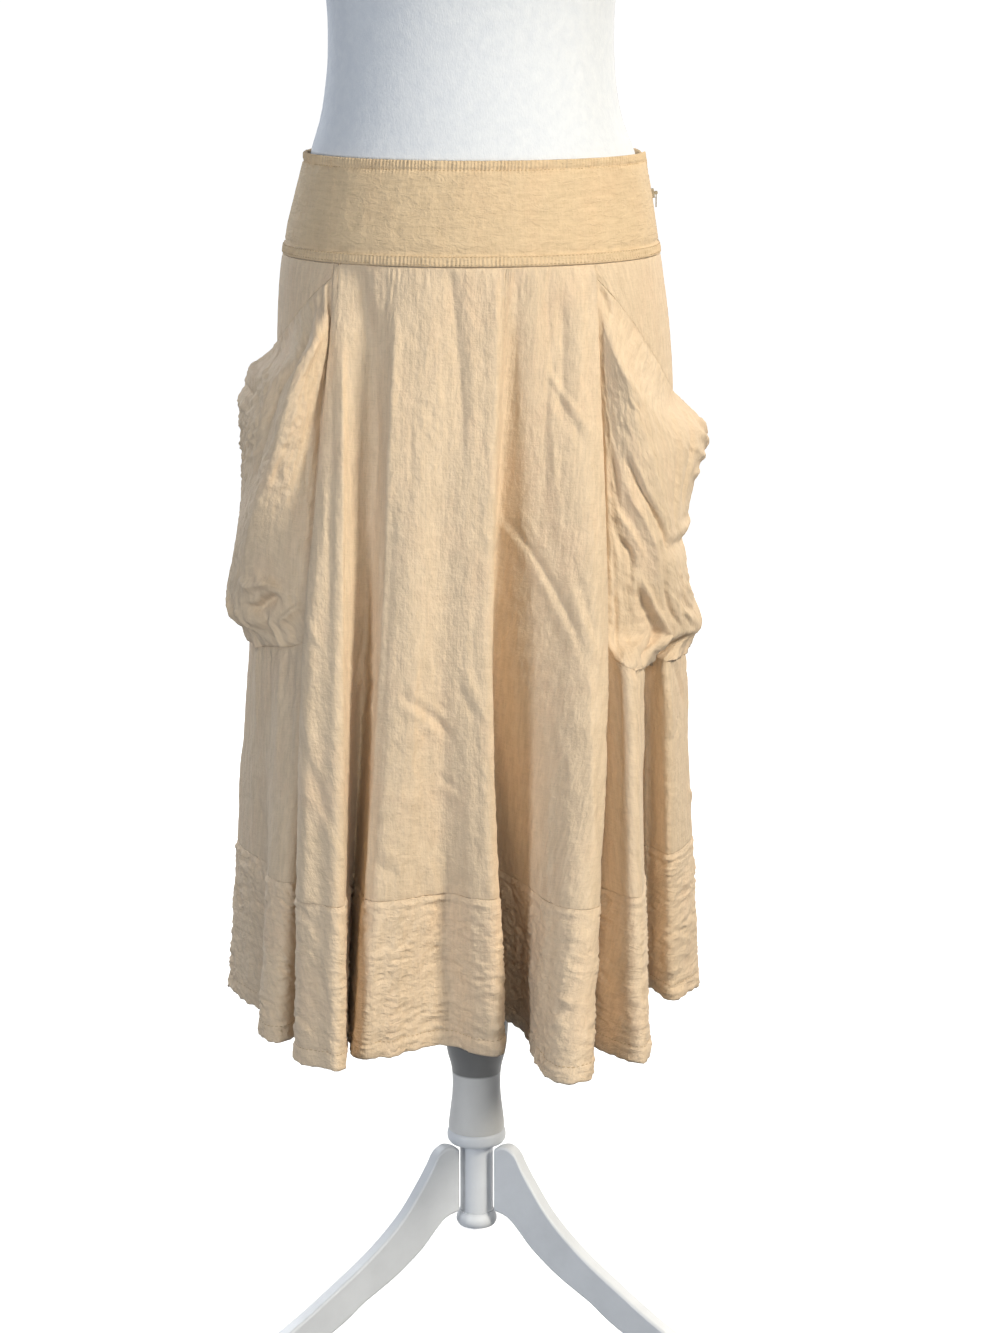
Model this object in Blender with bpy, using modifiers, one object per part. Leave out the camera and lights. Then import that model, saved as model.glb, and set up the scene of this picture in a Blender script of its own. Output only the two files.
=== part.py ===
"""A flared skirt with balloon pockets on a limbless dress form, in metres, +Z up, front at -Y.

Left and right are the wearer's, so the wearer's left is +X. The skirt is one surface, given by
fold lines that run from the waist seam to the hem. Panels are cut from it and made into walls.
"""
import math

import bmesh
import bpy
from mathutils import Matrix, Vector

# ---- Driving sizes ----
POLE_Y = -0.040          # the post's axis; it centres the whole object's box on the origin
WALL = 0.0016            # cloth wall, measured level
SEAM_GAP = 0.0003        # gap between two pieces sewn together
EDGE_DRAW = 0.75         # share of a gap that each piece's edge is drawn back, with room for its slant
MM = 0.001

# ---- Heights above the floor ----
BAND_TOP_Z = 1.120       # top edge of the waistband
WAIST_Z = 1.034          # seam under the waistband
STRIP_Z = 1.0425         # top of the raised double-stitched strip
POCKET_TOP_Z = 1.022     # where the slanted pocket seams leave the princess seams
THIGH_Z = 0.685          # height of the fold lines' middle points
HEM_SEAM_Z = 0.505       # seam above the hem band
HEM_Z = 0.367

# ---- The body under the yokes: level rings ----
# z, half width, depth in front, depth behind, centre x (mm)
BODY_RINGS = (
    (1120, 146, 105, 110, 0),
    (1034, 163, 124, 132, -3),
    (957, 171, 132, 146, -1),
    (880, 174, 136, 152, 0),
    (685, 178, 138, 154, 0),
)

# ---- Fold lines: each runs down the cloth from the waist seam, past pocket-seam height, to the hem ----
# name, angle at the waist (degrees from the front towards +X), then x and y at both heights (mm)
FRONT_LINES = (
    ("princess_right", -45.2, -142, -125, -149, -114),
    ("flute_1_left", -44.2, -145, -151, -155, -190),
    ("flute_1_crest", -43.0, -129, -165, -134, -212),
    ("flute_1_ridge", -41.4, -113, -168, -113, -213),
    ("valley_1", -28.0, -96, -125, -116, -78),
    ("flute_2_left", -21.0, -80, -164, -104, -184),
    ("flute_2_crest", -15.0, -57, -173, -80, -187),
    ("flute_2_dip", -6.0, -28, -164, -25, -157),
    ("flute_2_swell", 3.0, -4, -171, 3, -181),
    ("flute_2_edge", 9.0, 13, -165, 24, -175),
    ("valley_2", 12.5, 12, -108, 17, -76),
    ("valley_2_rise", 18.0, 36, -126, 44, -138),
    ("flute_3_left", 23.5, 63, -146, 52, -206),
    ("flute_3_crest", 31.0, 90, -160, 68, -246),
    ("flute_3_edge", 38.0, 108, -154, 94, -240),
)
LEFT_LINES = (
    ("princess_left", 39.4, 110, -125, 98, -158),
    ("flute_4_crest", 46.0, 131, -141, 134, -203),
    ("flute_4_edge", 54.0, 139, -119, 148, -178),
    ("valley_3", 66.0, 149, -42, 151, -8),
    ("flute_5", 76.0, 168, -57, 175, -40),
    ("side_left", 90.0, 185, 4, 203, 4),
    ("flank_left", 103.0, 179, 54, 190, 60),
    ("valley_4", 114.0, 160, 86, 158, 76),
    ("flute_6_edge", 124.0, 148, 118, 164, 148),
    ("flute_6_crest", 132.0, 128, 148, 134, 194),
)
BACK_LINES = (
    ("princess_back_left", 138.0, 109, 136, 108, 118),
    ("flute_7_left", 141.0, 96, 168, 104, 205),
    ("flute_7_crest", 147.0, 78, 182, 82, 226),
    ("flute_7_edge", 154.0, 59, 176, 57, 214),
    ("valley_5", 163.0, 44, 148, 38, 118),
    ("flute_8_left", 171.0, 23, 176, 27, 206),
    ("flute_8_crest", 179.0, 1, 188, 0, 229),
    ("flute_8_edge", 187.0, -24, 178, -29, 212),
    ("valley_6", 196.0, -41, 150, -47, 124),
    ("flute_9_left", 204.0, -59, 173, -62, 203),
    ("flute_9_crest", 211.0, -79, 181, -86, 221),
    ("flute_9_edge", 217.0, -99, 165, -110, 199),
)
RIGHT_LINES = (
    ("princess_back_right", 220.0, -114, 136, -117, 117),
    ("flute_10_crest", 227.0, -132, 149, -139, 191),
    ("flute_10_edge", 235.0, -156, 122, -170, 156),
    ("valley_7", 245.0, -175, 90, -167, 85),
    ("flank_right", 256.0, -194, 54, -205, 66),
    ("side_right", 270.0, -201, 2, -225, 4),
    ("hip_flank_right", 281.0, -194, -38, -207, -41),
    ("valley_8", 290.0, -182, -66, -181, -80),
    ("flute_0_left", 299.0, -168, -92, -190, -127),
    ("flute_0_crest", 307.0, -155, -113, -168, -145),
)

# ---- Balloon pockets: level sections between the two princess seams ----
# z, then x and y of the drape's ridge, of the side and of the back ridge (mm)
RIGHT_POCKET = (
    (1022, -141, -66, -166, 0, -141, 74),
    (978, -141, -104, -173, 0, -142, 108),
    (937, -156, -108, -196, 0, -160, 112),
    (905, -165, -107, -204, 0, -168, 113),
    (870, -175, -104, -202, 2, -171, 112),
    (827, -188, -94, -202, 4, -170, 112),
    (778, -200, -80, -208, 6, -172, 110),
    (728, -204, -72, -217, 6, -180, 106),
    (708, -192, -70, -206, 4, -176, 100),
    (684, -183, -66, -201, 2, -172, 96),
)
LEFT_POCKET = (
    (1022, 137, -70, 162, 0, 137, 76),
    (978, 130, -103, 169, 0, 142, 108),
    (914, 143, -106, 176, 6, 158, 112),
    (873, 152, -104, 203, 12, 170, 113),
    (823, 160, -98, 191, 10, 168, 114),
    (775, 168, -88, 184, 8, 165, 112),
    (735, 177, -72, 190, 6, 171, 106),
    (708, 180, -62, 200, 4, 174, 100),
    (690, 174, -58, 194, 4, 168, 94),
    (672, 168, -54, 186, 4, 162, 92),
)
POCKET_SIDE_Z = {"right": 0.957, "left": 0.914}    # the slanted seam's lowest point, at the side
FOOT_END_Z = {"right": 0.718, "left": 0.704}       # the seam under the pocket, at the princess seams
FOOT_SIDE_Z = {"right": 0.696, "left": 0.683}      # and at the side
SEAM_EASE = 0.030        # how far below the slanted seam the pocket has left the body
FOOT_EASE = 0.022        # how far above the lower seam it is gathered back in

# ---- Grid of the cloth walls ----
PER_SPAN = 2             # columns from one fold line to the next
SIDE_COLUMNS = 16        # columns across a pocket or a side panel
POCKET_ROWS = 9
LOWER_ROWS = 3
HEM_ROWS = 2
YOKE_ROWS = 3
BAND_COLUMNS = 26        # columns across half the waistband
STRIP_LIFT = 0.0009      # how far the double-stitched strip is raised
BAND_RADIUS = 0.146      # the waistband's radius at the zip, for its rounded corners

# ---- Zip, in the wearer's left side seam ----
ZIP_HALF_GAP = 0.0025    # half the opening that the chain fills
ZIP_SLIDER_Z = 1.084
CHAIN_WIDTH = 0.0044
CHAIN_THICK = 0.0012
SLIDER_SIZE = (0.0020, 0.0062, 0.0080)
PIVOT_OUT = 0.0041       # pull's pivot, out from the cloth
PIN_RADIUS = 0.00055
EYE_RADIUS = 0.00085
BARREL_RADIUS = 0.0014
BARREL_WIDTH = 0.0028
PULL_LENGTH = 0.0125
PULL_WIDTH = 0.0044
PULL_THICK = 0.0009
CORNER_RADIUS = 0.012    # rounded top corners of the waistband beside the zip

# ---- Dress form ----
# z, half width, depth in front, depth behind, squareness (2 is an ellipse) (mm)
TORSO_RINGS = (
    (852, 118, 70, 84, 2.0),
    (856, 136, 82, 98, 2.0),
    (872, 152, 94, 113, 2.0),
    (905, 164, 102, 127, 2.0),
    (957, 166, 108, 134, 2.0),
    (1000, 161, 113, 130, 2.0),
    (1034, 157, 117, 124, 2.0),
    (1080, 147, 108, 112, 2.0),
    (1120, 139, 99, 103, 2.0),
    (1150, 129, 94, 96, 2.0),
    (1180, 124, 91, 91, 2.0),
    (1206, 122, 90, 88, 2.0),
    (1247, 123, 94, 89, 2.05),
    (1290, 131, 106, 95, 2.1),
    (1335, 143, 124, 103, 2.2),
    (1375, 152, 132, 109, 2.25),
    (1415, 158, 124, 113, 2.3),
    (1455, 168, 104, 114, 2.4),
    (1495, 178, 86, 108, 2.4),
    (1530, 176, 71, 94, 2.3),
    (1556, 148, 62, 80, 2.2),
    (1574, 102, 55, 68, 2.1),
    (1592, 68, 52, 60, 2.0),
    (1625, 57, 54, 55, 2.0),
    (1655, 55, 55, 55, 2.0),
)
TORSO_COLUMNS = 36
TORSO_LEAN = -0.003      # how far the torso stands to the wearer's right above the waistband
CAP_PROFILE = (          # radius, z of the neck cap and its knob, top to bottom (mm)
    (0, 1716), (8, 1714), (13, 1708), (14, 1700), (10, 1692), (8, 1686),
    (14, 1682), (34, 1676), (50, 1668), (54, 1662), (54, 1655.5), (0, 1655.5),
)
POLE_PROFILE = (         # radius, z of the turned pole, top to bottom (mm)
    (0, 851.5), (17, 851.5), (17, 380), (19, 368), (26, 352), (29, 335), (28.5, 318), (26.5, 303),
    (23.2, 290), (22, 276), (22.4, 262), (24.2, 246), (25.6, 234), (25.6, 228.5), (0, 228.5),
)
RING_PROFILE = (
    (0, 228.2), (25.4, 228.2), (26.6, 226), (27, 222.5), (26.6, 219), (25.2, 216.6), (0, 216.6),
)
POST_PROFILE = ((0, 216.3), (15.2, 216.3), (15.2, 148.3), (0, 148.3))
POST_CAP_PROFILE = (
    (0, 148), (16, 148), (16.6, 146), (18.4, 142), (18.6, 138), (17, 134.6), (0, 134.6),
)
TURNED_STEPS = 24

# ---- Legs ----
# radius and z of the upper edge, radius and z of the lower edge (mm)
LEG_SECTIONS = (
    (21.5, 213, 21.5, 152),
    (33, 217, 36, 148),
    (43, 212, 48, 137),
    (50, 200, 60, 124),
    (61, 183, 76, 111),
    (77, 161, 92, 100),
    (97, 141, 108, 91),
    (122, 121, 124, 82),
    (149, 103, 139, 71),
    (175, 86, 160, 59),
    (201, 71, 188, 46),
    (229, 57, 217, 34),
    (258, 43, 246, 22),
    (286, 31, 275, 11),
    (310, 20, 304, 0),
)
LEG_TOE = (326, 8)       # radius and height of the toe's upper edge (mm)
LEG_THICK = 0.014
TENON_SIZE = (0.0100, 0.0070, 0.0520)   # the thinner end of each leg, against the post
TENON_R = 0.0205         # its middle, from the post's axis
TENON_Z = 0.182
LEG_BEVEL = 0.002
LEGS = (("stand_leg_right", 210.0), ("stand_leg_left", 330.0), ("stand_leg_rear", 90.0))

# ---- Colours: base colour, roughness, metallic ----
FINISHES = {
    "sand_cloth": ((0.70, 0.56, 0.36), 0.85, 0.0),
    "zip_metal": ((0.20, 0.17, 0.13), 0.40, 0.9),
    "zip_tape": ((0.55, 0.44, 0.29), 0.80, 0.0),
    "form_jersey": ((0.84, 0.86, 0.90), 0.90, 0.0),
    "white_paint": ((0.78, 0.79, 0.81), 0.45, 0.0),
}


# ---- Small helpers ----
def lerp(a, b, t):
    return a + (b - a) * t


def smoothstep(t):
    t = min(1.0, max(0.0, t))
    return t * t * (3 - 2 * t)


def spline(points, t):
    """A smooth open curve through 2-D points; t runs from 0 to the number of spans."""
    last = len(points) - 1
    i = min(int(t), last - 1)
    f = t - i
    b, c = points[i], points[i + 1]
    a = points[i - 1] if i > 0 else 2 * b - c
    d = points[i + 2] if i + 2 <= last else 2 * c - b
    return 0.5 * (2 * b + (c - a) * f + (2 * a - 5 * b + 4 * c - d) * f * f
                  + (3 * b - a - 3 * c + d) * f ** 3)


def table_at(rows, z):
    """The columns after z, read from a table whose first column falls from row to row (mm)."""
    z = min(rows[0][0], max(rows[-1][0], z / MM))
    for i in range(len(rows) - 1):
        if z >= rows[i + 1][0]:
            break
    t = i + (rows[i][0] - z) / (rows[i][0] - rows[i + 1][0])
    return [spline([Vector((row[k], 0)) for row in rows], t)[0] * MM for k in range(1, len(rows[0]))]


def body_point(degrees, z):
    """A point on the body's ring at height z, at an angle from the front towards +X."""
    half, front, back, centre = table_at(BODY_RINGS, z)
    a = math.radians(degrees)
    depth = front if math.cos(a) > 0 else back
    return Vector((centre + half * math.sin(a), -depth * math.cos(a)))


def line_point(line, z):
    """A fold line's point at height z: from the body at the waist, through both table points."""
    high = body_point(line[1], WAIST_Z)
    mid = Vector(line[2:4]) * MM
    low = Vector(line[4:6]) * MM
    slope_1 = (high - mid) / (WAIST_Z - THIGH_Z)
    slope_2 = (mid - low) / (THIGH_Z - HEM_Z)
    middle = (slope_1 + slope_2) / 2
    if z > THIGH_Z:
        span, foot, head, m_foot, m_head = WAIST_Z - THIGH_Z, mid, high, middle, slope_1
        t = (z - THIGH_Z) / span
    else:
        span, foot, head, m_foot, m_head = THIGH_Z - HEM_Z, low, mid, slope_2, middle
        t = (z - HEM_Z) / span
    return ((2 * t ** 3 - 3 * t ** 2 + 1) * foot + (t ** 3 - 2 * t ** 2 + t) * span * m_foot
            + (3 * t ** 2 - 2 * t ** 3) * head + (t ** 3 - t ** 2) * span * m_head)


# ---- The skirt's surface ----
# A group is the stretch between two princess seams. u runs from 0 to 1 across it.
GROUPS = {
    "front": FRONT_LINES + LEFT_LINES[:1],
    "left": LEFT_LINES + BACK_LINES[:1],
    "back": BACK_LINES + RIGHT_LINES[:1],
    "right": RIGHT_LINES + (FRONT_LINES[0][:1] + (FRONT_LINES[0][1] + 360,) + FRONT_LINES[0][2:],),
}
BEFORE = {"front": "right", "left": "front", "back": "left", "right": "back"}
AFTER = {before: group for group, before in BEFORE.items()}
POCKETS = {"left": LEFT_POCKET, "right": RIGHT_POCKET}
SIDE_DEGREES = {"left": 90.0, "right": 270.0}


def seam_z(group, u):
    """The slanted pocket seam's height at u, lowest at the side."""
    return lerp(POCKET_TOP_Z, POCKET_SIDE_Z[group], math.sin(math.pi * u) ** 1.15)


def foot_z(group, u):
    """The height of the seam under a pocket at u, lowest at the side."""
    return lerp(FOOT_END_Z[group], FOOT_SIDE_Z[group], math.sin(math.pi * u))


def yoke_angle(group, u):
    """The angle round the body at u; the side seam is at the middle."""
    first, side, last = GROUPS[group][0][1], SIDE_DEGREES[group], GROUPS[group][-1][1]
    return lerp(first, side, 2 * u) if u < 0.5 else lerp(side, last, 2 * u - 1)


def folded_point(group, u, z):
    lines = GROUPS[group]
    return spline([line_point(line, z) for line in lines], u * (len(lines) - 1))


def pocket_point(group, u, z):
    """The balloon pocket and the yoke above it, between the two princess seams."""
    lines = GROUPS[group]
    start, end = line_point(lines[0], z), line_point(lines[-1], z)
    body = body_point(yoke_angle(group, u), z)
    first = body_point(lines[0][1], z)
    last = body_point(lines[-1][1], z)
    body = body + (start - first) * max(0, 1 - 8 * u) ** 2 + (end - last) * max(0, 8 * u - 7) ** 2
    ridge_x, ridge_y, side_x, side_y, back_x, back_y = table_at(POCKETS[group], z)
    marks = [Vector((ridge_x, ridge_y)), Vector((side_x, side_y)), Vector((back_x, back_y))]
    if group == "right":
        marks.reverse()
    drape = spline([start] + marks + [end], u * 4)
    out = lerp(body, drape, smoothstep((seam_z(group, u) - z) / SEAM_EASE))
    return lerp(folded_point(group, u, z), out, smoothstep((z - foot_z(group, u)) / FOOT_EASE))


def surface(group, u, z):
    if group in POCKETS and z > foot_z(group, u):
        return pocket_point(group, u, z)
    return folded_point(group, u, z)


def level_normal(group, u, z):
    """The outward direction in the level section, shared by both panels at a princess seam."""
    step = 0.002
    low, high = max(0.0, u - step), min(1.0, u + step)
    along = (surface(group, high, z) - surface(group, low, z)).normalized()
    if u == 0.0:
        along = along + (surface(BEFORE[group], 1.0, z) - surface(BEFORE[group], 1 - step, z)).normalized()
    if u == 1.0:
        along = along + (surface(AFTER[group], step, z) - surface(AFTER[group], 0.0, z)).normalized()
    along.normalize()
    return Vector((along[1], -along[0]))


def cloth_pair(group, u, z, lift=0.0):
    """The outer and the inner point of the wall."""
    outer = surface(group, u, z)
    normal = level_normal(group, u, z)
    out = outer + normal * lift
    inner = outer - normal * WALL
    return Vector((*out, z)), Vector((*inner, z))


def pulled_in(grid, gap_first=SEAM_GAP, gap_last=SEAM_GAP):
    """Draws the first and the last column in by half a seam gap, outer and inner points alike."""
    for row in grid:
        for edge, beside, gap in ((0, 1, gap_first), (-1, -2, gap_last)):
            reach = (row[beside][0] - row[edge][0]).to_2d().length
            share = EDGE_DRAW * gap / reach
            row[edge] = tuple(lerp(row[edge][k], row[beside][k], share) for k in (0, 1))
    return grid


# ---- Making objects ----
def finish_mesh(name, bm, finish, smooth_angle=40):
    bmesh.ops.recalc_face_normals(bm, faces=bm.faces)
    mesh = bpy.data.meshes.new(name)
    bm.to_mesh(mesh)
    bm.free()
    return place(bpy.data.objects.new(name, mesh), finish, smooth_angle)


def place(obj, finish, smooth_angle=40):
    parts.objects.link(obj)
    obj.parent = pole_axis
    obj.data.materials.append(materials[finish])
    if obj.type == "MESH" and smooth_angle:
        obj.data.shade_smooth()
        obj.data.set_sharp_from_angle(angle=math.radians(smooth_angle))
    return obj


def wall(name, grid, finish="sand_cloth"):
    """A closed wall from a grid of (outer, inner) points."""
    bm = bmesh.new()
    layers = [[[bm.verts.new(pair[k]) for pair in row] for row in grid] for k in (0, 1)]
    outer, inner = layers
    rows, columns = len(grid), len(grid[0])
    for r in range(rows - 1):
        for c in range(columns - 1):
            for layer in layers:
                bm.faces.new((layer[r][c], layer[r][c + 1], layer[r + 1][c + 1], layer[r + 1][c]))
    for r in range(rows - 1):
        for c in (0, columns - 1):
            bm.faces.new((outer[r][c], outer[r + 1][c], inner[r + 1][c], inner[r][c]))
    for c in range(columns - 1):
        for r in (0, rows - 1):
            bm.faces.new((outer[r][c], outer[r][c + 1], inner[r][c + 1], inner[r][c]))
    return finish_mesh(name, bm, finish)


def loft(name, rings, finish):
    """A closed solid through level rings of points, with flat ends."""
    bm = bmesh.new()
    loops = [[bm.verts.new(point) for point in ring] for ring in rings]
    count = len(loops[0])
    for low, high in zip(loops, loops[1:]):
        for i in range(count):
            j = (i + 1) % count
            bm.faces.new((low[i], low[j], high[j], high[i]))
    bm.faces.new(loops[0])
    bm.faces.new(loops[-1])
    return finish_mesh(name, bm, finish)


def turned(name, profile, finish, smooth_angle=35):
    """A turned solid: its profile runs down the outer side at +X, from the axis to the axis."""
    mesh = bpy.data.meshes.new(name)
    points = [(radius * MM, 0, z * MM) for radius, z in profile]
    mesh.from_pydata(points, [(i, i + 1) for i in range(len(points) - 1)], [])
    obj = bpy.data.objects.new(name, mesh)
    screw = obj.modifiers.new("Screw", "SCREW")
    screw.steps = screw.render_steps = TURNED_STEPS
    screw.use_merge_vertices = True
    screw.merge_threshold = 0.00001
    screw.use_smooth_shade = True
    return place(obj, finish, 0)


def between(z_high, z_low, rows):
    return [lerp(z_high, z_low, r / rows) for r in range(rows + 1)]


# ---- The skirt's pieces ----
def panel_columns(group):
    spans = len(GROUPS[group]) - 1
    count = SIDE_COLUMNS if group in POCKETS else spans * PER_SPAN
    return [c / count for c in range(count + 1)]


def seam_heights(side):
    """Heights of the rows along a side's princess seams, from the waist seam to the hem band."""
    upper = between(POCKET_TOP_Z, FOOT_END_Z[side], POCKET_ROWS)
    return [WAIST_Z] + upper + between(FOOT_END_Z[side], HEM_SEAM_Z, LOWER_ROWS)[1:]


def long_panel(name, group):
    """The front or the back panel, from the waist seam to the hem band."""
    start, end = seam_heights(BEFORE[group]), seam_heights(AFTER[group])
    for heights in (start, end):
        heights[0] -= SEAM_GAP / 2
        heights[-1] += SEAM_GAP / 2
    grid = [[cloth_pair(group, u, lerp(first, last, u)) for u in panel_columns(group)]
            for first, last in zip(start, end)]
    wall(name, pulled_in(grid))


def side_panel(name, group):
    """From the seam under the pocket to the hem band, front princess seam to back princess seam."""
    grid = []
    for r in range(LOWER_ROWS + 1):
        row = []
        for u in panel_columns(group):
            head, foot = foot_z(group, u) - SEAM_GAP / 2, HEM_SEAM_Z + SEAM_GAP / 2
            row.append(cloth_pair(group, u, lerp(head, foot, r / LOWER_ROWS)))
        grid.append(row)
    wall(name, pulled_in(grid))


def hem_band(name, groups):
    """Half the hem band, from one side seam to the other, across three groups."""
    grid = []
    for z in between(HEM_SEAM_Z - SEAM_GAP / 2, HEM_Z, HEM_ROWS):
        row = []
        for group in groups:
            columns = panel_columns(group)
            if group == groups[0]:
                columns = [u for u in columns if u >= 0.5]
            if group == groups[-1]:
                columns = [u for u in columns if u <= 0.5]
            row.extend(cloth_pair(group, u, z) for u in columns if u > 0.0 or not row)
        grid.append(row)
    wall(name, pulled_in(grid))


def pocket(name, group):
    grid = []
    for r in range(POCKET_ROWS + 1):
        row = []
        for u in panel_columns(group):
            top = seam_z(group, u) - SEAM_GAP
            row.append(cloth_pair(group, u, lerp(top, foot_z(group, u) + SEAM_GAP / 2, r / POCKET_ROWS)))
        grid.append(row)
    wall(name, pulled_in(grid))


def yoke(name, group, front_half, zip_side):
    """Half a yoke: from a princess seam to the side seam, down to the slanted pocket seam."""
    columns = [u for u in panel_columns(group) if (u <= 0.5) == front_half or u == 0.5]
    if group == "right":
        columns = [u for u in panel_columns(group) if (u >= 0.5) == front_half or u == 0.5]
    grid = []
    for r in range(YOKE_ROWS + 1):
        row = []
        for u in columns:
            foot = seam_z(group, u) + SEAM_GAP
            row.append(cloth_pair(group, u, lerp(WAIST_Z - SEAM_GAP / 2, foot, r / YOKE_ROWS)))
        grid.append(row)
    side_gap = ZIP_HALF_GAP / EDGE_DRAW if zip_side else SEAM_GAP
    side_first = columns[0] == 0.5
    wall(name, pulled_in(grid, side_gap if side_first else SEAM_GAP, SEAM_GAP if side_first else side_gap))


def band_pair(degrees, z, lift=0.0):
    """The waistband's outer and inner point; lift raises the outer one."""
    here = body_point(degrees, z)
    along = (body_point(degrees + 0.5, z) - body_point(degrees - 0.5, z)).normalized()
    normal = Vector((along[1], -along[0]))
    out = here + normal * lift
    inner = here - normal * WALL
    return Vector((*out, z)), Vector((*inner, z))


def waistband(name, start, end, zip_end):
    """Half the waistband, with its raised strip, and a rounded top corner at the zip."""
    rows = ((WAIST_Z + SEAM_GAP / 2, STRIP_LIFT), (STRIP_Z - 0.001, STRIP_LIFT), (STRIP_Z, 0.0))
    rows = rows + tuple((z, 0.0) for z in between(STRIP_Z, BAND_TOP_Z, 4)[1:])
    grid = []
    for z, raised in rows:
        row = []
        for c in range(BAND_COLUMNS + 1):
            degrees = lerp(start, end, c / BAND_COLUMNS)
            away = abs(degrees - (start if zip_end == "start" else end))
            away = math.radians(away) * BAND_RADIUS
            drop = 0.0
            if away < CORNER_RADIUS:
                drop = CORNER_RADIUS - math.sqrt(CORNER_RADIUS ** 2 - (CORNER_RADIUS - away) ** 2)
            share = max(0.0, (z - STRIP_Z) / (BAND_TOP_Z - STRIP_Z))
            row.append(band_pair(degrees, z - drop * share, raised))
        grid.append(row)
    zip_gap = ZIP_HALF_GAP / EDGE_DRAW
    first, last = (zip_gap, SEAM_GAP) if zip_end == "start" else (SEAM_GAP, zip_gap)
    wall(name, pulled_in(grid, first, last))


def zip_frame(z):
    """Origin on the cloth at the side seam and a matrix whose X points out of the cloth there."""
    low, high = body_point(90, z - 0.01), body_point(90, z + 0.01)
    tilt = math.atan2(low[0] - high[0], 0.02)
    return Matrix.Translation((body_point(90, z)[0], 0, z)) @ Matrix.Rotation(tilt, 4, "Y").inverted()


def zip_chain():
    """The closed chain: a narrow strip in the side seam, from under the slider to the yoke's foot."""
    heights = between(ZIP_SLIDER_Z + 0.004, POCKET_SIDE_Z["left"] + 0.002, 8)
    grid = []
    for z in heights:
        x = body_point(90, z)[0] - 0.0002
        half = CHAIN_WIDTH / 2
        grid.append([(Vector((x, y, z)), Vector((x - CHAIN_THICK, y, z))) for y in (-half, 0, half)])
    wall("zip_chain", grid, "zip_tape")


def box(bm, size, centre):
    bmesh.ops.create_cube(bm, size=1, matrix=Matrix.Translation(centre) @ Matrix.Diagonal((*size, 1)))


def rod(bm, radius, length, centre):
    """A rod along Y."""
    turn = Matrix.Rotation(math.radians(90), 4, "X")
    bmesh.ops.create_cone(bm, cap_ends=True, segments=14, radius1=radius, radius2=radius,
                          depth=length, matrix=Matrix.Translation(centre) @ turn)


def solid(name, make, collection, *args):
    bm = bmesh.new()
    make(bm, *args)
    mesh = bpy.data.meshes.new(name)
    bm.to_mesh(mesh)
    bm.free()
    obj = bpy.data.objects.new(name, mesh)
    collection.objects.link(obj)
    if collection is cutters:
        obj.hide_render = True
        obj.display_type = "WIRE"
    return obj


def combine(obj, other, operation):
    boolean = obj.modifiers.new(operation.title(), "BOOLEAN")
    boolean.operation = operation
    boolean.object = other


def zip_slider(frame):
    """The slider on the chain, with two cheeks and the pin that carries the pull."""
    thick, width, length = SLIDER_SIZE
    base = 0.0004
    cheek = 0.0008
    obj = solid("zip_slider", box, parts, SLIDER_SIZE, (base + thick / 2, 0, 0))
    obj.data.materials.append(materials["zip_metal"])
    tall = PIVOT_OUT + 0.0011 - base - thick / 2
    for side in (-1, 1):
        centre = (base + thick / 2 + tall / 2, side * (BARREL_WIDTH / 2 + 0.0003 + cheek / 2), 0)
        piece = solid("slider_cheek", box, cutters, (tall, cheek, 0.0026), centre)
        piece.matrix_world = pole_shift @ frame
        combine(obj, piece, "UNION")
    pin = solid("slider_pin", rod, cutters, PIN_RADIUS, BARREL_WIDTH + 0.0014, (PIVOT_OUT, 0, 0))
    pin.matrix_world = pole_shift @ frame
    combine(obj, pin, "UNION")
    obj.matrix_world = pole_shift @ frame


def zip_pull(frame):
    """The pull, hanging straight down from the pin; its origin is on the pin's axis."""
    pivot = pole_shift @ frame @ Vector((PIVOT_OUT, 0, 0))
    at_pivot = Matrix.Translation(pivot)
    obj = solid("zip_pull", rod, parts, BARREL_RADIUS, BARREL_WIDTH, (0, 0, 0))
    obj.data.materials.append(materials["zip_metal"])
    obj.matrix_world = at_pivot
    neck = (PULL_THICK, BARREL_WIDTH * 0.9, 0.0040)
    blade = (PULL_THICK, PULL_WIDTH, PULL_LENGTH - 0.0035)
    pieces = (("pull_neck", neck, -0.0024), ("pull_blade", blade, -0.0035 - blade[2] / 2))
    for name, size, z in pieces:
        piece = solid(name, box, cutters, size, (0, 0, z))
        piece.matrix_world = at_pivot
        if name == "pull_blade":
            bevel = piece.modifiers.new("Bevel", "BEVEL")
            bevel.width = 0.0013
            bevel.segments = 2
            bevel.limit_method = "WEIGHT"
            weights = piece.data.attributes.new("bevel_weight_edge", "FLOAT", "EDGE")
            for edge in piece.data.edges:
                ends = [piece.data.vertices[v].co for v in edge.vertices]
                if abs(ends[0].x - ends[1].x) > PULL_THICK / 2:
                    weights.data[edge.index].value = 1.0
        combine(obj, piece, "UNION")
    eye = solid("pull_eye", rod, cutters, EYE_RADIUS, BARREL_WIDTH * 2, (0, 0, 0))
    eye.matrix_world = at_pivot
    combine(obj, eye, "DIFFERENCE")


# ---- The dress form and its stand ----
def torso_ring(row):
    z, half, front, back, power = row
    ring = []
    lean = TORSO_LEAN / MM * smoothstep((z - 1060) / 110)
    for c in range(TORSO_COLUMNS):
        a = math.radians(360 * c / TORSO_COLUMNS)
        s, k = math.sin(a), math.cos(a)
        depth = front if k > 0 else back
        x = half * math.copysign(abs(s) ** (2 / power), s)
        y = -depth * math.copysign(abs(k) ** (2 / power), k)
        ring.append(Vector((x + lean, y, z)) * MM)
    return ring


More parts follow.
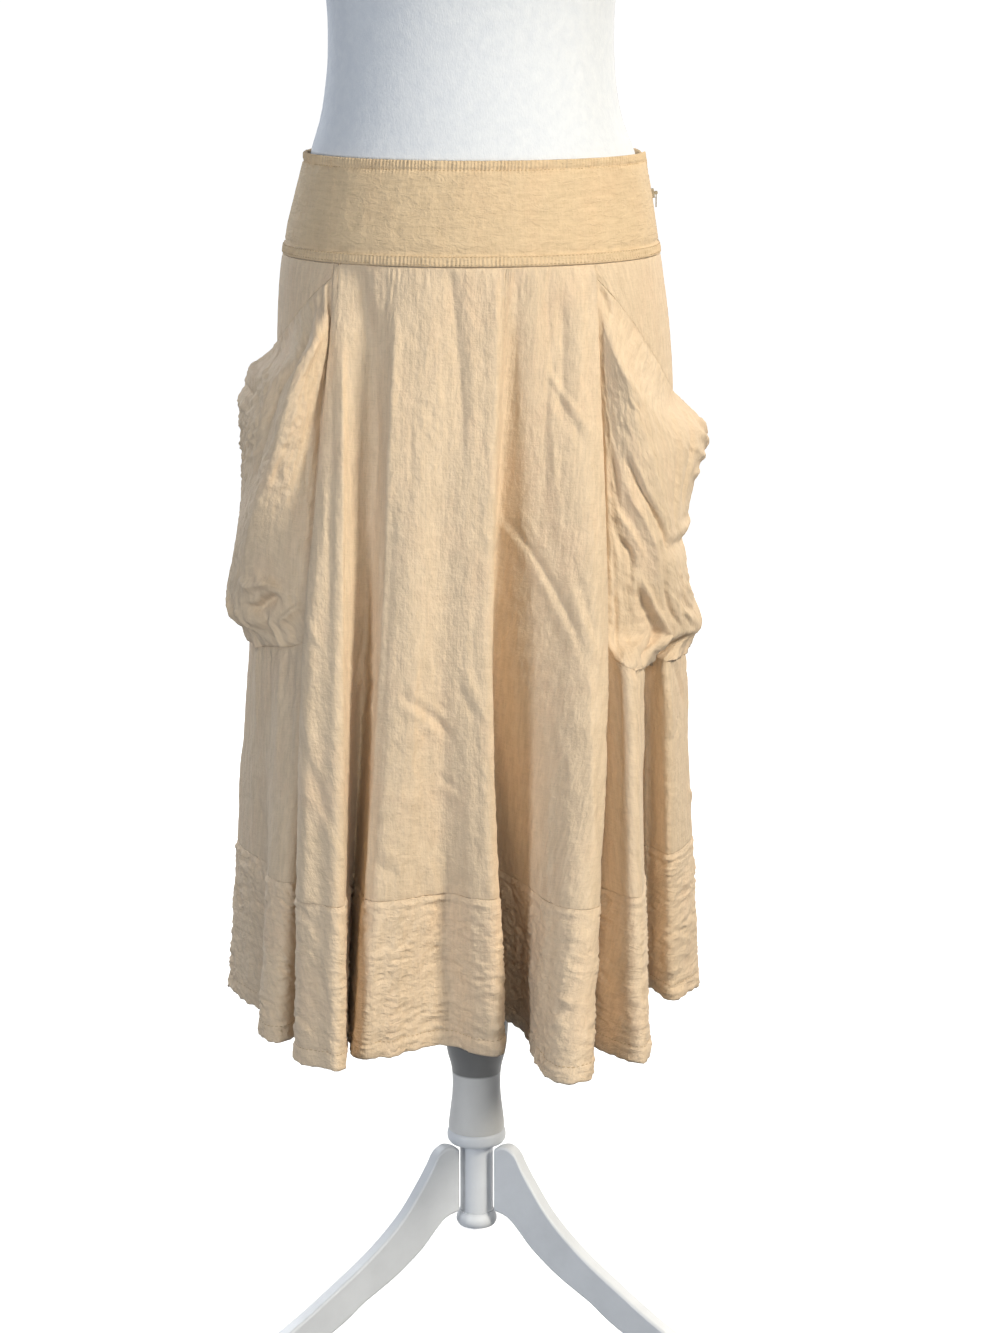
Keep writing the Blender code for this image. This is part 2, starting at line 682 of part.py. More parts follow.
def leg(name, degrees):
    """A flat curved board, standing on edge, from the post to its toe on the floor."""
    upper = [Vector(row[0:2]) * MM for row in LEG_SECTIONS]
    lower = [Vector(row[2:4]) * MM for row in LEG_SECTIONS]
    count = 2 * (len(upper) - 1)
    outline = [spline(upper, 0.5 * i) for i in range(count + 1)]
    outline.append(Vector(LEG_TOE) * MM)
    outline.append(Vector((LEG_TOE[0], 0)) * MM)
    outline.extend(spline(lower, 0.5 * i) for i in range(count, -1, -1))
    curve = bpy.data.curves.new(name, "CURVE")
    curve.dimensions = "2D"
    curve.fill_mode = "BOTH"
    curve.extrude = LEG_THICK / 2
    shape = curve.splines.new("POLY")
    shape.points.add(len(outline) - 1)
    shape.use_cyclic_u = True
    for point, (radius, height) in zip(shape.points, outline):
        point.co = (radius, max(0.0, height), 0, 1)
    source = bpy.data.objects.new(name + "_outline", curve)
    cutters.objects.link(source)
    depsgraph = bpy.context.evaluated_depsgraph_get()
    mesh = bpy.data.meshes.new_from_object(source.evaluated_get(depsgraph))
    mesh.name = name
    bpy.data.objects.remove(source)
    bm = bmesh.new()
    bm.from_mesh(mesh)
    bmesh.ops.remove_doubles(bm, verts=bm.verts, dist=0.00001)
    bmesh.ops.recalc_face_normals(bm, faces=bm.faces)
    bm.to_mesh(mesh)
    bm.free()
    obj = place(bpy.data.objects.new(name, mesh), "white_paint", 0)
    obj.rotation_euler = (math.radians(90), 0, math.radians(degrees))
    bevel = obj.modifiers.new("Bevel", "BEVEL")
    bevel.width = LEG_BEVEL
    bevel.segments = 1
    bevel.limit_method = "ANGLE"
    bevel.angle_limit = math.radians(60)
    tenon = solid(name + "_tenon", box, cutters, TENON_SIZE, (TENON_R, 0, TENON_Z))
    tenon.matrix_world = pole_shift @ Matrix.Rotation(math.radians(degrees), 4, "Z")
    combine(obj, tenon, "UNION")


# ---- Building ----
for old in list(bpy.data.objects):
    bpy.data.objects.remove(old, do_unlink=True)

parts = bpy.data.collections.new("tailored_skirt_on_dress_form")
cutters = bpy.data.collections.new("cutters")
for collection in (parts, cutters):
    bpy.context.scene.collection.children.link(collection)

materials = {}
for finish, (colour, roughness, metallic) in FINISHES.items():
    material = bpy.data.materials.new(finish)
    material.use_nodes = True
    shader = material.node_tree.nodes["Principled BSDF"]
    shader.inputs["Base Color"].default_value = (*colour, 1)
    shader.inputs["Roughness"].default_value = roughness
    shader.inputs["Metallic"].default_value = metallic
    materials[finish] = material

pole_axis = bpy.data.objects.new("pole_axis", None)
pole_axis.location = (0, POLE_Y, 0)
parts.objects.link(pole_axis)
pole_shift = Matrix.Translation((0, POLE_Y, 0))

waistband("waistband_front", -90, 90, "end")
waistband("waistband_back", 90, 270, "start")
long_panel("front_panel", "front")
long_panel("back_panel", "back")
for side, zip_side in (("left", True), ("right", False)):
    yoke("yoke_front_" + side, side, True, zip_side)
    yoke("yoke_back_" + side, side, False, zip_side)
    pocket("pocket_" + side, side)
    side_panel("side_panel_" + side, side)
hem_band("hem_band_front", ("right", "front", "left"))
hem_band("hem_band_back", ("left", "back", "right"))

zip_chain()
slider_frame = zip_frame(ZIP_SLIDER_Z)
zip_slider(slider_frame)
zip_pull(slider_frame)

loft("form_torso", [torso_ring(row) for row in TORSO_RINGS], "form_jersey")
turned("form_neck_cap", CAP_PROFILE, "white_paint")
turned("stand_pole", POLE_PROFILE, "white_paint")
turned("stand_ring", RING_PROFILE, "white_paint")
turned("stand_post", POST_PROFILE, "white_paint")
turned("stand_post_cap", POST_CAP_PROFILE, "white_paint")
for leg_name, leg_degrees in LEGS:
    leg(leg_name, leg_degrees)
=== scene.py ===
"""Looks of a flared skirt with balloon pockets on its dress form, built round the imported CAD.

Metres, +Z up, front at -Y. Left and right are the wearer's, so the wearer's left is +X.
The skirt is one surface, given by fold lines from the waist seam to the hem. Each piece is cut
from it as a fine grid, gets its creases, gathers and crumples, and becomes a thin closed shell.
"""
import math

import bpy
import numpy as np
from mathutils import Matrix, Vector


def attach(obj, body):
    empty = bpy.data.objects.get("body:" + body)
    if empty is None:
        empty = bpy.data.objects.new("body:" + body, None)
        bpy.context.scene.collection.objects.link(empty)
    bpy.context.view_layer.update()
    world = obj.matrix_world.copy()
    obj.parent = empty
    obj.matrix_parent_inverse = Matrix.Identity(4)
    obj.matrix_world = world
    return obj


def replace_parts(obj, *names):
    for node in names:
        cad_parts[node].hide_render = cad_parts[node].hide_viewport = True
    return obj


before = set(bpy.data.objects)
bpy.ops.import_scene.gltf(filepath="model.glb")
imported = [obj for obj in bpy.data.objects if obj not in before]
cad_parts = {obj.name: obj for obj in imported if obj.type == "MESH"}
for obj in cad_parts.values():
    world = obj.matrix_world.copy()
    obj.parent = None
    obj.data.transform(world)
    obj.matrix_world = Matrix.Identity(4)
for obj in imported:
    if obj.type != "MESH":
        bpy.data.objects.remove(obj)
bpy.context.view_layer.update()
BODY = "dressed_form"

# ---- Driving sizes (metres) ----
MM = 0.001
POLE_Y = -0.040          # the post's axis
CLOTH = 0.0008           # thickness of one layer of the cloth
BAND_TOP_Z = 1.120       # top edge of the waistband
WAIST_Z = 1.034          # seam under the waistband
STRIP_Z = 1.0425         # top of the raised double-stitched strip
STRIP_LIFT = 0.0018
POCKET_TOP_Z = 1.022     # where the slanted pocket seams leave the princess seams
THIGH_Z = 0.685          # height of the fold lines' middle points
HEM_SEAM_Z = 0.505       # seam above the hem band
HEM_Z = 0.367
ZIP_HALF_GAP = 0.0025
CORNER_RADIUS = 0.012    # rounded top corners of the waistband beside the zip
BAND_RADIUS = 0.146
STRIP_DEPTH = 0.0100     # of the raised strip, up from the waistband's lower edge
BAND_STITCHES = (("down", 0.0070), ("foot", 0.0020), ("foot", 0.0082))   # rows, from the top or foot
BAND_GROOVES = (("foot", 0.0107, 1.9), ("down", 0.0072, 1.6))    # and the grooves they press (mm deep)
HEM_TURNING = 0.0125     # stitched depth of the hem's turning
FORM_TOP_Z, FORM_RIM_Z = 1.655, 0.880    # top of the neck, and where the form's underside rounds
FLOOR_RADIUS, COVE, WALL_TOP = 16.0, 10.0, 16.0      # the studio's floor and the curve up to its wall
LIGHT_AWAY, LIGHT_AIM_Z = 3.0, 0.75
CAMERA_AWAY, CAMERA_Z = 2.8, 1.34
CAMERA_DOWN, CAMERA_RIGHT = 13.55, 0.443     # degrees
LENS, SENSOR = 87.3, 36

# ---- The body under the yokes: z, half width, depth in front, depth behind, centre x (mm) ----
BODY_RINGS = (
    (1120, 146, 105, 110, 0),
    (1034, 163, 124, 132, -3),
    (957, 171, 132, 146, -1),
    (880, 174, 136, 152, 0),
    (685, 178, 138, 154, 0),
)

# ---- Fold lines: name, angle at the waist, x and y at thigh height, x and y at the hem (mm) ----
FRONT_LINES = (
    ("princess_right", -45.2, -142, -125, -149, -114),
    ("flute_1_left", -44.2, -145, -151, -155, -190),
    ("flute_1_crest", -43.0, -129, -165, -134, -212),
    ("flute_1_ridge", -41.4, -113, -168, -113, -213),
    ("valley_1", -28.0, -96, -125, -116, -78),
    ("flute_2_left", -21.0, -80, -164, -104, -184),
    ("flute_2_crest", -15.0, -57, -173, -80, -187),
    ("flute_2_dip", -6.0, -28, -164, -25, -157),
    ("flute_2_swell", 3.0, -4, -171, 3, -181),
    ("flute_2_edge", 9.0, 13, -165, 24, -175),
    ("valley_2", 12.5, 12, -108, 17, -76),
    ("valley_2_rise", 18.0, 36, -126, 44, -138),
    ("flute_3_left", 23.5, 63, -146, 52, -206),
    ("flute_3_crest", 31.0, 90, -160, 68, -246),
    ("flute_3_edge", 38.0, 108, -154, 94, -240),
)
LEFT_LINES = (
    ("princess_left", 39.4, 110, -125, 98, -158),
    ("flute_4_crest", 46.0, 131, -141, 134, -203),
    ("flute_4_edge", 54.0, 139, -119, 148, -178),
    ("valley_3", 66.0, 149, -42, 151, -8),
    ("flute_5", 76.0, 168, -57, 175, -40),
    ("side_left", 90.0, 185, 4, 203, 4),
    ("flank_left", 103.0, 179, 54, 190, 60),
    ("valley_4", 114.0, 160, 86, 158, 76),
    ("flute_6_edge", 124.0, 148, 118, 164, 148),
    ("flute_6_crest", 132.0, 128, 148, 134, 194),
)
BACK_LINES = (
    ("princess_back_left", 138.0, 109, 136, 108, 118),
    ("flute_7_left", 141.0, 96, 168, 104, 205),
    ("flute_7_crest", 147.0, 78, 182, 82, 226),
    ("flute_7_edge", 154.0, 59, 176, 57, 214),
    ("valley_5", 163.0, 44, 148, 38, 118),
    ("flute_8_left", 171.0, 23, 176, 27, 206),
    ("flute_8_crest", 179.0, 1, 188, 0, 229),
    ("flute_8_edge", 187.0, -24, 178, -29, 212),
    ("valley_6", 196.0, -41, 150, -47, 124),
    ("flute_9_left", 204.0, -59, 173, -62, 203),
    ("flute_9_crest", 211.0, -79, 181, -86, 221),
    ("flute_9_edge", 217.0, -99, 165, -110, 199),
)
RIGHT_LINES = (
    ("princess_back_right", 220.0, -114, 136, -117, 117),
    ("flute_10_crest", 227.0, -132, 149, -139, 191),
    ("flute_10_edge", 235.0, -156, 122, -170, 156),
    ("valley_7", 245.0, -175, 90, -167, 85),
    ("flank_right", 256.0, -194, 54, -205, 66),
    ("side_right", 270.0, -201, 2, -225, 4),
    ("hip_flank_right", 281.0, -194, -38, -207, -41),
    ("valley_8", 290.0, -182, -66, -181, -80),
    ("flute_0_left", 299.0, -168, -92, -190, -127),
    ("flute_0_crest", 307.0, -155, -113, -168, -145),
)

# ---- Balloon pockets: z, then x and y of the drape's ridge, the side and the back ridge (mm) ----
RIGHT_POCKET = (
    (1022, -141, -66, -166, 0, -141, 74),
    (978, -141, -104, -173, 0, -142, 108),
    (937, -156, -108, -196, 0, -160, 112),
    (905, -165, -107, -204, 0, -168, 113),
    (870, -175, -104, -202, 2, -171, 112),
    (827, -188, -94, -202, 4, -170, 112),
    (778, -200, -80, -208, 6, -172, 110),
    (728, -204, -72, -217, 6, -180, 106),
    (708, -192, -70, -206, 4, -176, 100),
    (684, -183, -66, -201, 2, -172, 96),
)
LEFT_POCKET = (
    (1022, 137, -70, 162, 0, 137, 76),
    (978, 130, -103, 169, 0, 142, 108),
    (914, 143, -106, 176, 6, 158, 112),
    (873, 152, -104, 203, 12, 170, 113),
    (823, 160, -98, 191, 10, 168, 114),
    (775, 168, -88, 184, 8, 165, 112),
    (735, 177, -72, 190, 6, 171, 106),
    (708, 180, -62, 200, 4, 174, 100),
    (690, 174, -58, 194, 4, 168, 94),
    (672, 168, -54, 186, 4, 162, 92),
)
POCKET_SIDE_Z = {"right": 0.957, "left": 0.914}    # the slanted seam's lowest point, at the side
FOOT_END_Z = {"right": 0.718, "left": 0.704}       # the seam under the pocket, at the princess seams
FOOT_SIDE_Z = {"right": 0.696, "left": 0.683}      # and at the side
SEAM_EASE = 0.030
FOOT_EASE = 0.022

# ---- Creases: half width and height (mm, below 0 is a trough), which ends are soft, then the places
# it runs through: fold line, z (mm), and so on. On pockets and side panels the fold line is tenths of
# the way across.
BOTH, START, END, NONE = ("start", "end"), ("start",), ("end",), ()
FRONT_CREASES = (
    (2.2, -2.0, BOTH, 0.45, 1018, 0.45, 960, 0.45, 860, 0.45, 740),
    # flute 1: its pressed right ridge, and the fine creases on its left
    (2.2, 3.0, START, 3.05, 1000, 3.05, 900, 3.0, 700, 3.0, 505),
    (9.0, 3.6, START, 1.5, 840, 1.5, 740, 1.5, 640, 1.5, 505),
    (4.0, -1.2, BOTH, 2.5, 960, 2.4, 800, 2.3, 650),
    (2.4, 1.1, BOTH, 0.9, 752, 1.5, 736, 2.1, 720),
    (2.2, -1.0, BOTH, 0.9, 738, 1.5, 722, 2.0, 708),
    (2.6, 1.0, BOTH, 1.2, 690, 1.7, 640, 2.3, 606),
    (2.4, -1.0, BOTH, 1.0, 668, 1.6, 622, 2.1, 590),
    (2.6, 1.0, BOTH, 1.6, 602, 2.2, 576, 2.8, 546),
    (2.4, -1.1, BOTH, 1.8, 610, 2.4, 584, 2.9, 556),
    (2.2, 0.8, BOTH, 1.6, 860, 1.9, 800, 1.8, 740),
    (2.2, -0.8, BOTH, 2.0, 840, 2.2, 780, 2.1, 720),
    # valley 1
    (6.0, -5.0, END, 3.5, 1034, 3.7, 985, 3.95, 923, 4.1, 866, 3.95, 810),
    (2.4, -1.5, BOTH, 4.2, 732, 3.8, 700, 3.45, 672),
    (2.9, 1.7, BOTH, 4.9, 716, 4.2, 696, 3.45, 662),
    (2.6, -1.4, BOTH, 4.9, 694, 4.2, 672, 3.6, 645),
    (2.7, 1.2, BOTH, 4.9, 674, 4.3, 652, 3.7, 625),
    (4.8, 1.2, BOTH, 4.5, 840, 4.7, 770, 4.9, 710),
    # flute 2
    (2.6, 1.8, START, 5.1, 1000, 5.0, 900, 5.0, 700, 5.0, 505),
    (7.0, 4.0, BOTH, 4.75, 1020, 4.95, 975, 5.1, 915, 5.1, 850, 5.0, 800),
    (10.0, 2.2, START, 7.3, 780, 7.3, 640, 7.2, 530),
    (5.2, -3.0, END, 7.0, 1034, 7.2, 990, 7.4, 938, 7.5, 892, 7.3, 840),
    (3.4, 2.1, NONE, 8.6, 1034, 8.8, 960, 8.9, 800, 8.9, 650, 9.0, 505),
    (2.2, -2.0, BOTH, 5.6, 684, 6.2, 676, 6.75, 662, 7.25, 647, 7.5, 628),
    (2.4, 1.3, BOTH, 5.6, 676, 6.2, 667, 6.7, 652, 7.1, 637),
    (2.2, 0.7, BOTH, 6.3, 684, 6.9, 668, 7.4, 650),
    (2.2, -1.1, BOTH, 6.6, 612, 7.2, 606, 7.8, 594),
    (2.4, 0.9, BOTH, 6.6, 604, 7.3, 598, 7.9, 586),
    (2.7, 1.7, BOTH, 7.8, 706, 8.05, 690, 8.4, 672, 8.8, 652),
    (2.6, -1.1, BOTH, 7.5, 694, 7.9, 674, 8.3, 654),
    (4.0, -1.2, BOTH, 5.1, 548, 5.7, 534, 6.3, 520),
    (3.6, 1.0, BOTH, 5.2, 562, 6.3, 534),
    (2.6, 0.8, BOTH, 6.3, 730, 6.2, 650, 6.35, 565),
    (2.4, -0.8, BOTH, 6.6, 710, 6.5, 630, 6.6, 560),
    (2.2, 0.7, BOTH, 5.9, 660, 6.0, 610, 5.9, 560),
    (2.6, -0.7, BOTH, 5.6, 760, 5.7, 690),
    (2.4, 1.2, START, 6.6, 545, 6.75, 522, 6.8, 505),
    (2.4, -1.4, START, 7.1, 545, 7.1, 522, 7.1, 505),
    # valley 2, the long sweep across it and the level fold mark
    (3.2, -1.7, END, 12.05, 1034, 11.95, 1000, 12.1, 955, 11.85, 924, 11.9, 880, 12.0, 840),
    (4.8, 1.1, END, 11.3, 1034, 11.3, 960, 11.2, 880),
    (4.0, -0.9, END, 10.2, 1034, 10.4, 960, 10.4, 900),
    (2.9, 1.6, BOTH, 9.6, 832, 10.4, 815, 11.35, 789, 12.2, 748, 12.85, 709, 13.0, 668),
    (2.6, -1.5, BOTH, 10.3, 828, 10.9, 811, 11.8, 780, 12.6, 740, 13.1, 700),
    (2.9, 0.7, BOTH, 10.7, 836, 11.5, 812, 12.3, 775),
    (2.7, 1.2, BOTH, 12.2, 794, 12.75, 758, 13.3, 724, 13.95, 694),
    (2.4, -1.1, BOTH, 12.6, 796, 13.2, 750, 13.8, 714),
    (2.1, -0.6, BOTH, 9.7, 688, 11.0, 693, 12.7, 702),
    (4.0, 0.5, BOTH, 9.7, 699, 11.0, 704, 12.6, 712),
    (3.2, 0.6, BOTH, 10.6, 640, 10.7, 560, 10.6, 515),
    (3.2, -0.6, BOTH, 11.2, 660, 11.3, 580, 11.2, 520),
    # flute 3
    (2.6, 1.7, BOTH, 11.8, 958, 12.1, 940, 13.0, 913, 14.1, 880),
    (2.4, -1.5, BOTH, 11.9, 944, 12.2, 931, 12.95, 901, 13.85, 862),
    (2.6, 1.0, BOTH, 12.0, 928, 12.2, 860, 12.45, 796),
    (3.2, -1.0, BOTH, 11.7, 925, 11.85, 860, 12.1, 800),
    (4.8, 1.2, END, 13.4, 1034, 13.4, 985, 13.3, 940),
    (7.0, -5.0, BOTH, 12.4, 1020, 12.55, 985, 12.5, 940, 12.4, 880),
    (2.2, 2.4, NONE, 14.3, 1034, 14.4, 900, 14.4, 800, 14.2, 650, 14.1, 505),
    (2.2, 1.8, BOTH, 13.2, 705, 13.3, 684, 13.55, 593, 14.0, 515),
    (1.8, -1.8, START, 13.75, 620, 14.05, 560, 14.3, 505),
    (2.4, -0.6, BOTH, 13.3, 690, 13.4, 650, 13.4, 600),
    (2.9, 0.9, START, 12.2, 650, 12.1, 560, 12.2, 505),
    (2.4, 0.6, BOTH, 13.2, 860, 13.5, 800, 13.2, 740),
)
FRONT_BAND_CREASES = (
    (3.4, 2.2, NONE, 3.0, 506, 3.0, 430, 3.0, 366),
    (3.0, 1.8, NONE, 5.0, 506, 5.0, 430, 5.0, 366),
    (4.0, -1.8, BOTH, 1.9, 500, 2.1, 450, 2.4, 400),
    (3.6, 2.0, BOTH, 1.3, 495, 2.1, 465, 2.6, 425),
    (4.2, 2.2, END, 9.0, 506, 9.0, 440, 9.0, 380),
    (6.0, -3.2, END, 7.1, 506, 7.0, 475, 7.0, 440, 7.2, 400),
    (3.2, 2.2, END, 6.75, 506, 6.7, 485, 6.6, 462),
    (3.2, -1.4, BOTH, 5.9, 480, 5.9, 450, 5.8, 430),
    (3.4, 2.2, NONE, 14.1, 506, 14.1, 440, 14.0, 366),
    (3.6, 1.6, END, 12.2, 506, 12.2, 450, 12.0, 400),
    (3.0, 1.6, BOTH, 12.6, 434, 13.2, 432, 13.7, 433),
    (3.0, -1.6, BOTH, 12.6, 427, 13.2, 425, 13.7, 426),
)
BACK_CREASES = (
    (3.4, 1.9, BOTH, 1.6, 966, 2.6, 925, 3.6, 872, 4.1, 830),
    (2.9, -1.8, BOTH, 1.9, 956, 2.9, 915, 3.8, 862),
    (3.1, 1.8, BOTH, 2.0, 880, 3.0, 850, 3.9, 800),
    (3.2, 1.9, BOTH, 10.2, 950, 9.0, 895, 8.2, 840, 7.6, 790),
    (2.7, -1.6, BOTH, 10.0, 935, 8.9, 880, 8.0, 822),
    (2.5, -1.8, BOTH, 5.3, 738, 6.0, 720, 6.8, 690),
    (2.7, 1.4, BOTH, 5.2, 728, 6.0, 710, 6.8, 678),
    (2.9, -1.4, BOTH, 1.5, 668, 2.2, 640, 2.8, 602),
    (2.9, 1.4, BOTH, 10.5, 690, 9.8, 660, 9.1, 612),
    (2.5, -1.2, BOTH, 10.6, 706, 9.9, 676, 9.3, 630),
    (2.2, -0.7, BOTH, 0.8, 704, 6.0, 700, 11.2, 702),
    (3.4, 1.9, NONE, 2.0, 1034, 2.0, 800, 2.0, 505),
    (3.1, 1.8, NONE, 4.9, 1034, 5.0, 800, 5.0, 505),
    (3.4, 1.6, START, 8.0, 1000, 8.0, 800, 8.0, 505),
    (3.1, 1.8, START, 11.0, 1000, 11.1, 800, 11.1, 505),
    (5.1, 1.4, END, 1.2, 1034, 1.3, 930),
    (5.1, -1.8, END, 2.6, 1034, 2.7, 900),
    (5.5, 1.4, END, 4.2, 1034, 4.3, 930),
    (4.7, -1.8, END, 5.6, 1034, 5.6, 890),
    (6.0, -1.4, END, 6.9, 1034, 6.8, 915),
    (5.1, 1.4, END, 8.3, 1034, 8.4, 895),
    (4.7, -1.4, END, 9.7, 1034, 9.6, 925),
    (2.7, 1.0, BOTH, 3.0, 640, 3.3, 560),
    (2.7, -1.0, BOTH, 6.8, 640, 6.5, 560),
    (2.9, 1.1, BOTH, 9.5, 600, 9.2, 530),
)
LEFT_POCKET_CREASES = (
    (1.5, -3.0, BOTH, 0.07, 940, 0.08, 880, 0.1, 800, 0.12, 720),
    # puckers on the slanted seam
    (2.2, -2.8, BOTH, 0.15, 1017, 0.3, 1008, 0.6, 992, 0.95, 974),
    (2.0, 2.3, BOTH, 0.35, 1016, 0.65, 1003, 1.0, 984),
    (2.0, -2.5, BOTH, 0.6, 1005, 0.8, 995, 1.25, 973),
    (2.0, 2.3, BOTH, 1.5, 974, 1.85, 960, 2.3, 944),
    (1.9, -2.3, BOTH, 1.7, 976, 2.05, 964, 2.5, 949),
    (1.9, 1.9, BOTH, 2.5, 952, 2.9, 938, 3.2, 926),
    (1.9, -2.1, BOTH, 2.7, 950, 3.1, 934, 3.3, 922),
    (1.9, 1.9, BOTH, 3.3, 940, 3.7, 926, 4.0, 910),
    # the long folds of the drape
    (3.0, -1.5, BOTH, 0.12, 1002, 0.3, 988, 0.85, 967, 1.5, 941, 1.65, 914, 1.6, 885),
    (3.0, 1.4, BOTH, 0.5, 996, 1.15, 967, 1.9, 934, 2.1, 900),
    (2.2, -5.6, BOTH, 1.1, 882, 1.2, 872, 1.43, 861, 1.68, 845, 2.01, 831, 2.26, 817, 2.43, 802, 2.34,
     785, 2.2, 768),
    (1.7, -2.8, BOTH, 2.34, 785, 2.05, 759, 2.0, 742, 2.2, 724, 2.7, 709),
    (2.4, 3.4, BOTH, 0.9, 862, 1.2, 838, 1.58, 819, 1.86, 796, 1.84, 769, 1.78, 738),
    (2.4, 2.6, BOTH, 0.35, 840, 0.68, 823, 1.0, 811, 1.28, 795, 1.5, 776),
    (2.2, 2.4, BOTH, 2.2, 905, 2.35, 861, 2.6, 828, 2.85, 800),
    (2.2, -2.4, BOTH, 3.4, 886, 3.3, 847, 3.16, 812, 3.38, 794),
    (2.4, -2.0, BOTH, 0.4, 885, 0.6, 855, 0.65, 825),
    # the ribbed outer lobe
    (2.2, 2.5, BOTH, 4.0, 914, 3.6, 885, 3.4, 835, 3.35, 804),
    (3.6, -4.4, BOTH, 4.4, 900, 4.0, 870, 3.8, 835, 3.8, 804),
    (2.6, 2.5, BOTH, 4.2, 906, 4.9, 886, 5.5, 868, 6.3, 850),
    (2.6, -2.2, BOTH, 4.2, 897, 5.0, 877, 5.6, 860, 6.2, 846),
    (2.6, 2.2, BOTH, 4.1, 888, 4.9, 869, 5.6, 852, 6.4, 836),
    (2.6, -1.9, BOTH, 4.1, 878, 5.0, 861, 5.6, 846),
    (2.1, 2.1, BOTH, 4.0, 866, 5.0, 853, 5.7, 842),
    (2.6, -1.6, BOTH, 4.0, 856, 5.0, 848, 5.9, 832),
    (2.1, 1.9, BOTH, 4.0, 846, 5.3, 838),
    (2.5, -1.9, BOTH, 4.6, 836, 4.7, 806),
    # the notch and the lower lobe
    (4.4, -3.8, BOTH, 2.2, 797, 3.2, 791, 4.2, 786, 5.4, 782, 7.0, 764),
    (3.6, 2.8, BOTH, 3.0, 806, 4.2, 799, 5.6, 798, 6.8, 786),
    (1.8, -2.8, BOTH, 2.3, 752, 2.45, 738, 2.7, 724, 3.2, 712, 3.9, 706),
    (2.5, 2.8, BOTH, 2.1, 754, 2.6, 730, 3.4, 716),
    (2.2, -2.3, BOTH, 2.6, 752, 3.1, 732, 3.9, 722),
    (2.2, 2.3, BOTH, 2.9, 762, 3.6, 742, 4.4, 732),
    (2.2, -1.9, BOTH, 3.4, 762, 4.1, 748, 4.9, 742),
    (2.2, -3.6, BOTH, 0.4, 809, 0.68, 800, 0.93, 791, 0.93, 777, 0.76, 764),
    (2.0, 2.3, BOTH, 0.25, 820, 0.45, 790, 0.5, 763),
    (2.0, 3.0, BOTH, 1.1, 778, 0.95, 762, 0.88, 749, 0.83, 734),
    (2.2, 4.4, START, 1.08, 779, 1.28, 760, 1.43, 745, 1.66, 729, 1.95, 711, 2.5, 694),
    (3.2, -4.4, START, 1.05, 768, 1.18, 748, 1.36, 728, 1.6, 709, 1.9, 696),
    (2.0, -3.4, BOTH, 0.5, 722, 0.75, 715, 0.92, 714, 1.0, 724),
    (2.0, 2.8, BOTH, 0.85, 716, 1.15, 706, 1.55, 700),
    (1.9, -2.8, BOTH, 1.55, 722, 1.6, 712, 1.7, 700),
    (2.0, 2.4, BOTH, 0.55, 712, 0.7, 705, 0.9, 700),
    (1.7, -3.6, BOTH, 0.36, 770, 0.36, 745, 0.35, 722, 0.45, 704),
    (1.8, 2.1, BOTH, 0.2, 806, 0.22, 740, 0.22, 706),
    # behind
    (3.1, -2.5, BOTH, 6.0, 890, 6.4, 860, 6.6, 830),
    (3.4, 3.0, BOTH, 6.4, 905, 6.9, 850, 7.7, 785, 8.2, 740),
    (3.4, -3.4, BOTH, 7.0, 905, 7.6, 850, 8.2, 790, 8.6, 740),
    (3.4, 2.7, BOTH, 7.8, 940, 8.4, 870, 8.9, 800),
    (3.6, -2.8, BOTH, 6.2, 775, 6.6, 740, 7.0, 706),
    (3.4, 3.2, BOTH, 7.2, 765, 7.6, 730, 7.9, 700),
    (2.9, -2.7, BOTH, 8.5, 780, 8.7, 740, 8.9, 704),
    (2.5, -2.8, BOTH, 5.2, 760, 6.0, 742, 6.8, 730),
    (2.5, 2.5, BOTH, 5.2, 748, 6.0, 730, 6.8, 718),
)
